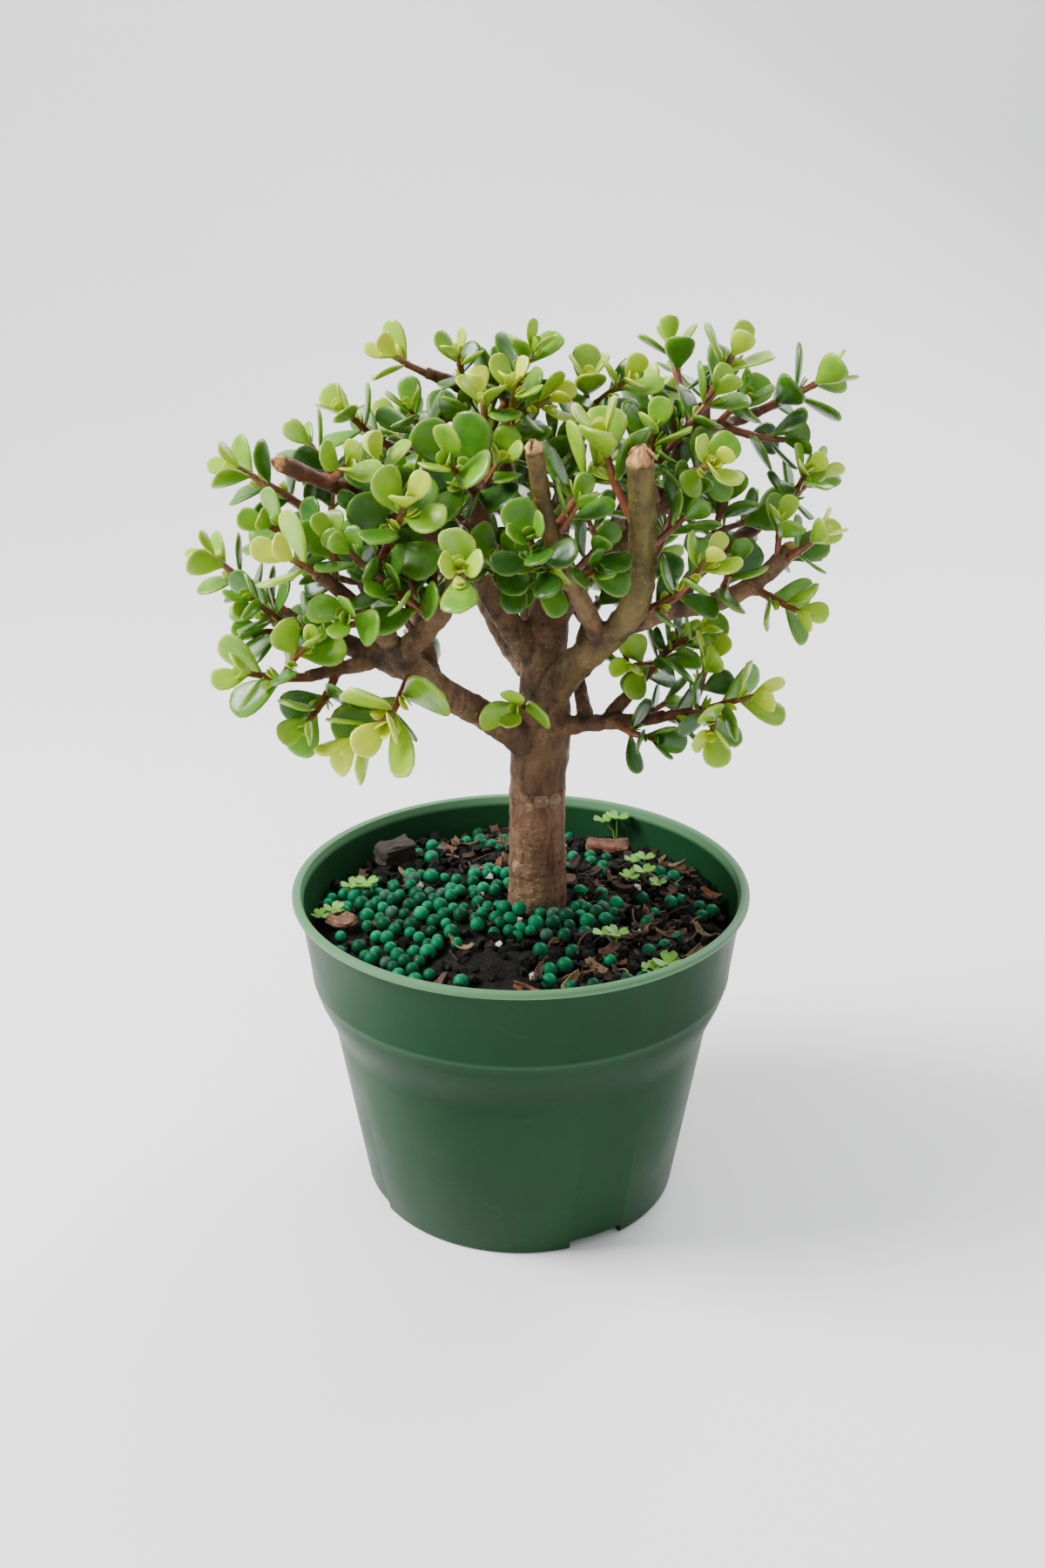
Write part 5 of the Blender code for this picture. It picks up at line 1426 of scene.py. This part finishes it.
def splinter(seed):
    """A curled flake of bark."""
    bpy.ops.mesh.primitive_cube_add(size=2.0)
    obj = newest("flake_model")
    open_mesh()
    bpy.ops.mesh.subdivide(number_cuts=2)
    bpy.ops.transform.vertex_random(offset=0.20, uniform=0.4, seed=seed)
    close_mesh()
    for vert in obj.data.vertices:
        vert.co.z = vert.co.z * 0.22 + 0.30 * vert.co.x ** 2
        vert.co.y *= 0.55
    return obj


def curl(seed):
    """A dried leaf rolled along its length."""
    draw = random.Random(seed)
    bpy.ops.mesh.primitive_grid_add(x_subdivisions=9, y_subdivisions=4, size=2.0)
    obj = newest("curl_model")
    bend, twist, wide = draw.uniform(0.35, 0.75), draw.uniform(-1.1, 1.1), draw.uniform(0.26, 0.42)
    for vert in obj.data.vertices:
        x, y = vert.co.x, vert.co.y
        a = twist * x + y * 1.1
        reach = wide * (1.0 - 0.55 * x * x)
        vert.co = Vector((x, reach * math.sin(a), bend * x * x + reach * (1.0 - math.cos(a)) * 0.9))
        vert.co += Vector((0.0, 0.0, 0.12)) * noise.noise(vert.co * 2.5 + Vector((float(seed), 0.0, 0.0)))
    obj.modifiers.new("thick", "SOLIDIFY").thickness = 0.09
    apply_all(obj)
    return obj


def root_thread(seed):
    """A thin dead root lying in a bend."""
    draw = random.Random(seed)
    a, b = draw.uniform(-0.5, 0.5), draw.uniform(-0.4, 0.4)
    rows = [(1000.0 * k / 6.0 - 500.0, 1000.0 * (a * (k / 3.0 - 1.0) ** 2 + b * (k / 3.0 - 1.0) ** 3),
             130.0 * math.sin(k * 0.9 + seed), 42.0 - 3.0 * k) for k in range(7)]
    return rod("root_thread", rows, 1)


def bead_chance(x, y):
    """How thick the fertiliser beads lie: in drifts on the left and round the foot of the trunk."""
    best = 0.012
    for drift in BEAD_DRIFTS:
        best = max(best, drift[4] * min(1.0, max(0.0, (1.15 - away_from(drift, x, y)) / 0.30)))
    if noise.noise(Vector((x, y, 0.0)) * 0.11) < -0.10:
        best *= 0.22
    if away_from(CLUMP, x, y) < 0.85:
        best = 0.0
    return best


def make_litter():
    """Crumbs, flakes, curled leaves, thin roots, grit and fertiliser beads that lie on the mix."""
    crumbs = [crumb(seed) for seed in (3, 8, 15)]
    flakes = [splinter(seed) for seed in (2, 9, 21)]
    curls = [curl(seed) for seed in (4, 11, 17, 26)]
    threads = [root_thread(seed) for seed in (1, 5, 6)]
    earth = tinted_material("mix_crumbs", 0.85, 600.0, 0.9, 0.12)
    wood = tinted_material("bark_flakes", 0.80, 380.0, 1.0, 0.20)
    grit = tinted_material("pale_grit", 0.8, 500.0, 0.6)
    coat = tinted_material("bead_coat", 0.46, 210.0, 0.22, 0.10, dirt=0.55)
    bpy.ops.mesh.primitive_ico_sphere_add(subdivisions=2, radius=1.0)
    bead = newest("bead_model")

    def shaded(low, high, *colors):
        """A colour for each bit: one of some, lighter or darker."""
        def color_of(draw):
            k = draw.uniform(low, high)
            return tuple(c * k for c in (draw.choice(colors) if len(colors) > 1 else colors[0]))
        return color_of

    def bead_color(draw):
        if draw.random() < 0.04:
            return (0.030, 0.090, 0.060)
        k = draw.uniform(0.25, 1.15)
        return (0.0, 0.190 * k, 0.072 * k)

    def litter_chance(x, y):
        return 0.95 if x > 22.0 or y > 22.0 or (y < -30.0 and x > 2.0) else 0.22

    def clump_chance(x, y):
        return 1.0 if away_from(CLUMP, x, y) < 0.95 or x > 18.0 or y > 20.0 else 0.40

    dark = shaded(0.3, 1.5, (0.010, 0.010, 0.008))
    brown = shaded(0.25, 1.5, (0.075, 0.036, 0.021))
    dry = shaded(0.35, 1.25, (0.185, 0.075, 0.036), (0.105, 0.056, 0.036), (0.235, 0.170, 0.080),
                 (0.050, 0.030, 0.020))
    lying = {"turn": False, "pile": 1.5}
    for name, bases, count, seed, sizes, chance, color_of, sink, how, mat, slot_name, angle in (
            ("mix_crumbs", crumbs, 760, 41, (0.8, 2.7), clump_chance, dark, 0.30,
             {"pile": 1.5}, earth, "potting_mix", 40.0),
            ("bark_flakes", flakes, 110, 52, (1.4, 4.2), litter_chance, brown, 0.18,
             {**lying, "flat": 0.9}, wood, "chip_bark", 40.0),
            ("dry_curls", curls, 62, 58, (2.8, 6.6), litter_chance, dry, 0.12,
             {**lying, "flat": 0.95, "pile": 2.0}, wood, "chip_bark", None),
            ("root_threads", threads, 40, 59, (7.0, 15.0), litter_chance, dry, 0.12,
             {**lying, "flat": 0.95}, wood, "chip_bark", None),
            ("white_grit", crumbs, 15, 63, (0.9, 1.8), lambda x, y: 1.0, lambda draw: (0.62, 0.60, 0.53), 0.7,
             {"pile": 1.5}, grit, "potting_mix", 40.0),
            ("fertiliser_beads", [bead], BEADS_TRIED, 74, (2.1, 3.0), bead_chance, bead_color, 0.70,
             {**lying, "apart": 0.84, "pile": 1.8, "patience": 26}, coat, "potting_mix", None)):
        bits = scatter(name, bases, count, seed, sizes, chance, color_of, sink, **how)
        finish_piece(bits, mat, ("soil",), angle=angle)
    drop(crumbs + flakes + curls + threads + [bead])


def make_chips():
    """Worn slabs of bark where the solids' chips lie."""
    mat = tinted_material("chip_bark", 0.82, 260.0, 1.0, 0.35, dirt=0.75)
    colors = {"bark_chip_dark": (0.026, 0.018, 0.013), "bark_chip_red": (0.165, 0.062, 0.034),
              "bark_chip_left": (0.190, 0.090, 0.052)}
    for name, _, _, turn, length, width, _ in CHIPS:
        low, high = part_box(name)
        middle = [(a + b) / 2.0 for a, b in zip(low, high)]
        bpy.ops.mesh.primitive_cube_add(size=1.0, location=middle, rotation=(0.0, 0.0, math.radians(turn)))
        chip = bpy.context.object
        chip.name = name + "_slab"
        chip.scale = (length * 0.84 * MM, width * 0.82 * MM, (high[2] - low[2]) * 0.74)
        settle(chip)
        open_mesh()
        bpy.ops.mesh.bevel(offset=0.0009, segments=1)
        bpy.ops.mesh.select_all(action="SELECT")
        bpy.ops.mesh.subdivide(number_cuts=5)
        close_mesh()
        normals = [vert.normal.copy() for vert in chip.data.vertices]
        for vert, normal in zip(chip.data.vertices, normals):
            p = vert.co / MM
            layer = noise.noise(Vector((p.x * 0.10, p.y * 0.10, p.z * 0.9)))
            push = noise.fractal(p * 0.22, 0.8, 2.1, 3)
            vert.co += normal * ((0.9 * layer + 1.3 * push - 0.2) * MM)
        tint(chip, (*colors[name], 1.0))
        finish_piece(chip, mat, (name,), angle=55.0)


def make_clover():
    """Seedlings with heart-shaped leaflets in threes."""
    bpy.ops.mesh.primitive_plane_add(size=1.0, location=(0.5, 0.0, 0.0))
    leaflet = newest("leaflet_model")
    open_mesh()
    bpy.ops.mesh.subdivide(number_cuts=3)
    for s, w in ((0.0, 0.14), (0.25, 0.62), (0.5, 0.98), (0.75, 1.12), (1.0, 0.66)):
        select_where(leaflet, lambda co, s=s: abs(co.x - s) < 0.01)
        bpy.ops.transform.resize(value=(1.0, w, 1.0), center_override=(s, 0.0, 0.0))
    select_where(leaflet, lambda co: co.x > 0.99 and abs(co.y) < 0.01)
    bpy.ops.transform.translate(value=(-0.16, 0.0, 0.0))
    select_where(leaflet, lambda co: abs(co.y) < 0.01)
    bpy.ops.transform.translate(value=(0.0, 0.0, -0.06))
    close_mesh()
    thick = leaflet.modifiers.new("thick", "SOLIDIFY")
    thick.thickness = 0.10
    thick.offset = 0.0
    apply_all(leaflet)
    mat = tinted_material("clover_leaf", 0.5, 300.0, 0.3, dirt=0.35)
    draw = random.Random(31)
    plants = [(w, 2) for w in WEEDS]
    plants += [((n, x, y, h, s, t), k) for n, x, y, h, s, t, k in (
        ("clover_extra_a", 46.0, 16.0, 7.0, 5.0, 50.0, 3), ("clover_extra_b", 50.0, -46.0, 5.0, 5.8, 80.0, 2),
        ("clover_extra_c", 47.0, 30.0, 7.0, 4.2, 20.0, 2), ("clover_extra_d", -67.0, -8.0, 5.0, 4.6, 65.0, 2),
        ("clover_extra_e", 38.0, 62.0, 11.0, 5.2, 10.0, 2))]
    for (name, x, y, height, size, turn), sprigs in plants:
        z = ground(x, y)
        parts = []
        for sprig in range(sprigs):
            a = math.radians(turn + 137.0 * sprig)
            reach = 0.0 if sprig == 0 else size * 1.15
            level = z + height * (1.0 - 0.22 * sprig)
            top = Vector((x + reach * math.cos(a), y + reach * math.sin(a), level))
            bend = (x + 0.3 * reach * math.cos(a), y + 0.3 * reach * math.sin(a), z + height * 0.5, 0.36)
            stalk = rod("stalk", [(x, y, z - 1.5, 0.42), bend, (*top, 0.30)], 2)
            tint(stalk, (0.13, 0.22, 0.04, 1.0))
            parts.append(stalk)
            for k in range(3):
                b = math.radians(turn + 120.0 * k + 40.0 * sprig)
                pose = (Matrix.Translation(top * MM) @ Matrix.Rotation(b, 4, "Z")
                        @ Matrix.Rotation(math.radians(-16.0 - draw.uniform(0.0, 14.0)), 4, "Y")
                        @ Matrix.Scale(size * 0.95 * MM * (1.0 - 0.12 * sprig), 4))
                leaf = copy_mesh(leaflet, pose, "leaflet")
                tone = draw.uniform(0.85, 1.15)
                tint(leaf, (0.120 * tone, 0.320 * tone, 0.022 * tone, 1.0))
                parts.append(leaf)
        piece = join(parts, name + "_sprig")
        own = (name,) if name in ("clover_left", "clover_right") else ("soil",)
        finish_piece(piece, mat, own, angle=40.0)
    drop([leaflet])


def make_floor():
    """A pale floor that rises behind the object in a round bend."""
    back, rise, bend = 1.4, 3.5, 0.7
    bpy.ops.mesh.primitive_plane_add(size=5.0, location=(0.0, -1.0, 0.0))
    floor = newest("floor")
    bpy.ops.object.mode_set(mode="EDIT")
    bm = bmesh.from_edit_mesh(floor.data)
    for edge in bm.edges:
        edge.select_set(all(v.co.y > back for v in edge.verts))
    bm.select_flush_mode()
    bpy.ops.mesh.extrude_edges_move(TRANSFORM_OT_translate={"value": (0.0, 0.0, rise)})
    select_where(floor, lambda co: co.y > back and co.z < 0.01)
    bpy.ops.mesh.bevel(offset=bend, segments=16)
    close_mesh()
    for poly in floor.data.polygons:
        poly.use_smooth = True
    floor.data.materials.append(floor_material())
    return floor


limbs = {name: points for name, _, points in LIMBS}
crowd = Crowd()
for _, sides, points in LIMBS:
    crowd.add(*tube([(Vector(p[:3]), p[3]) for p in points], sides))
stems = [make_stem(row, limbs, crowd) for row in SHOOTS]
for stub, _ in stems:
    if stub is not None:
        crowd.add(*stub)
grown = [make_leaves(branches, crowd) for _, branches in stems]
for row, (_, branches), growth in zip(SHOOTS, stems, grown):
    if row[0] != "shoot_trunk_front":
        older_leaves(branches, growth, crowd)
sprigs = make_sprigs(limbs, crowd, random.Random(8))

make_pot()
make_soil()
make_litter()
make_chips()
make_clover()
make_wood(stems)
make_cut_ends(limbs)
make_foliage(stems, grown, sprigs)

floor = make_floor()
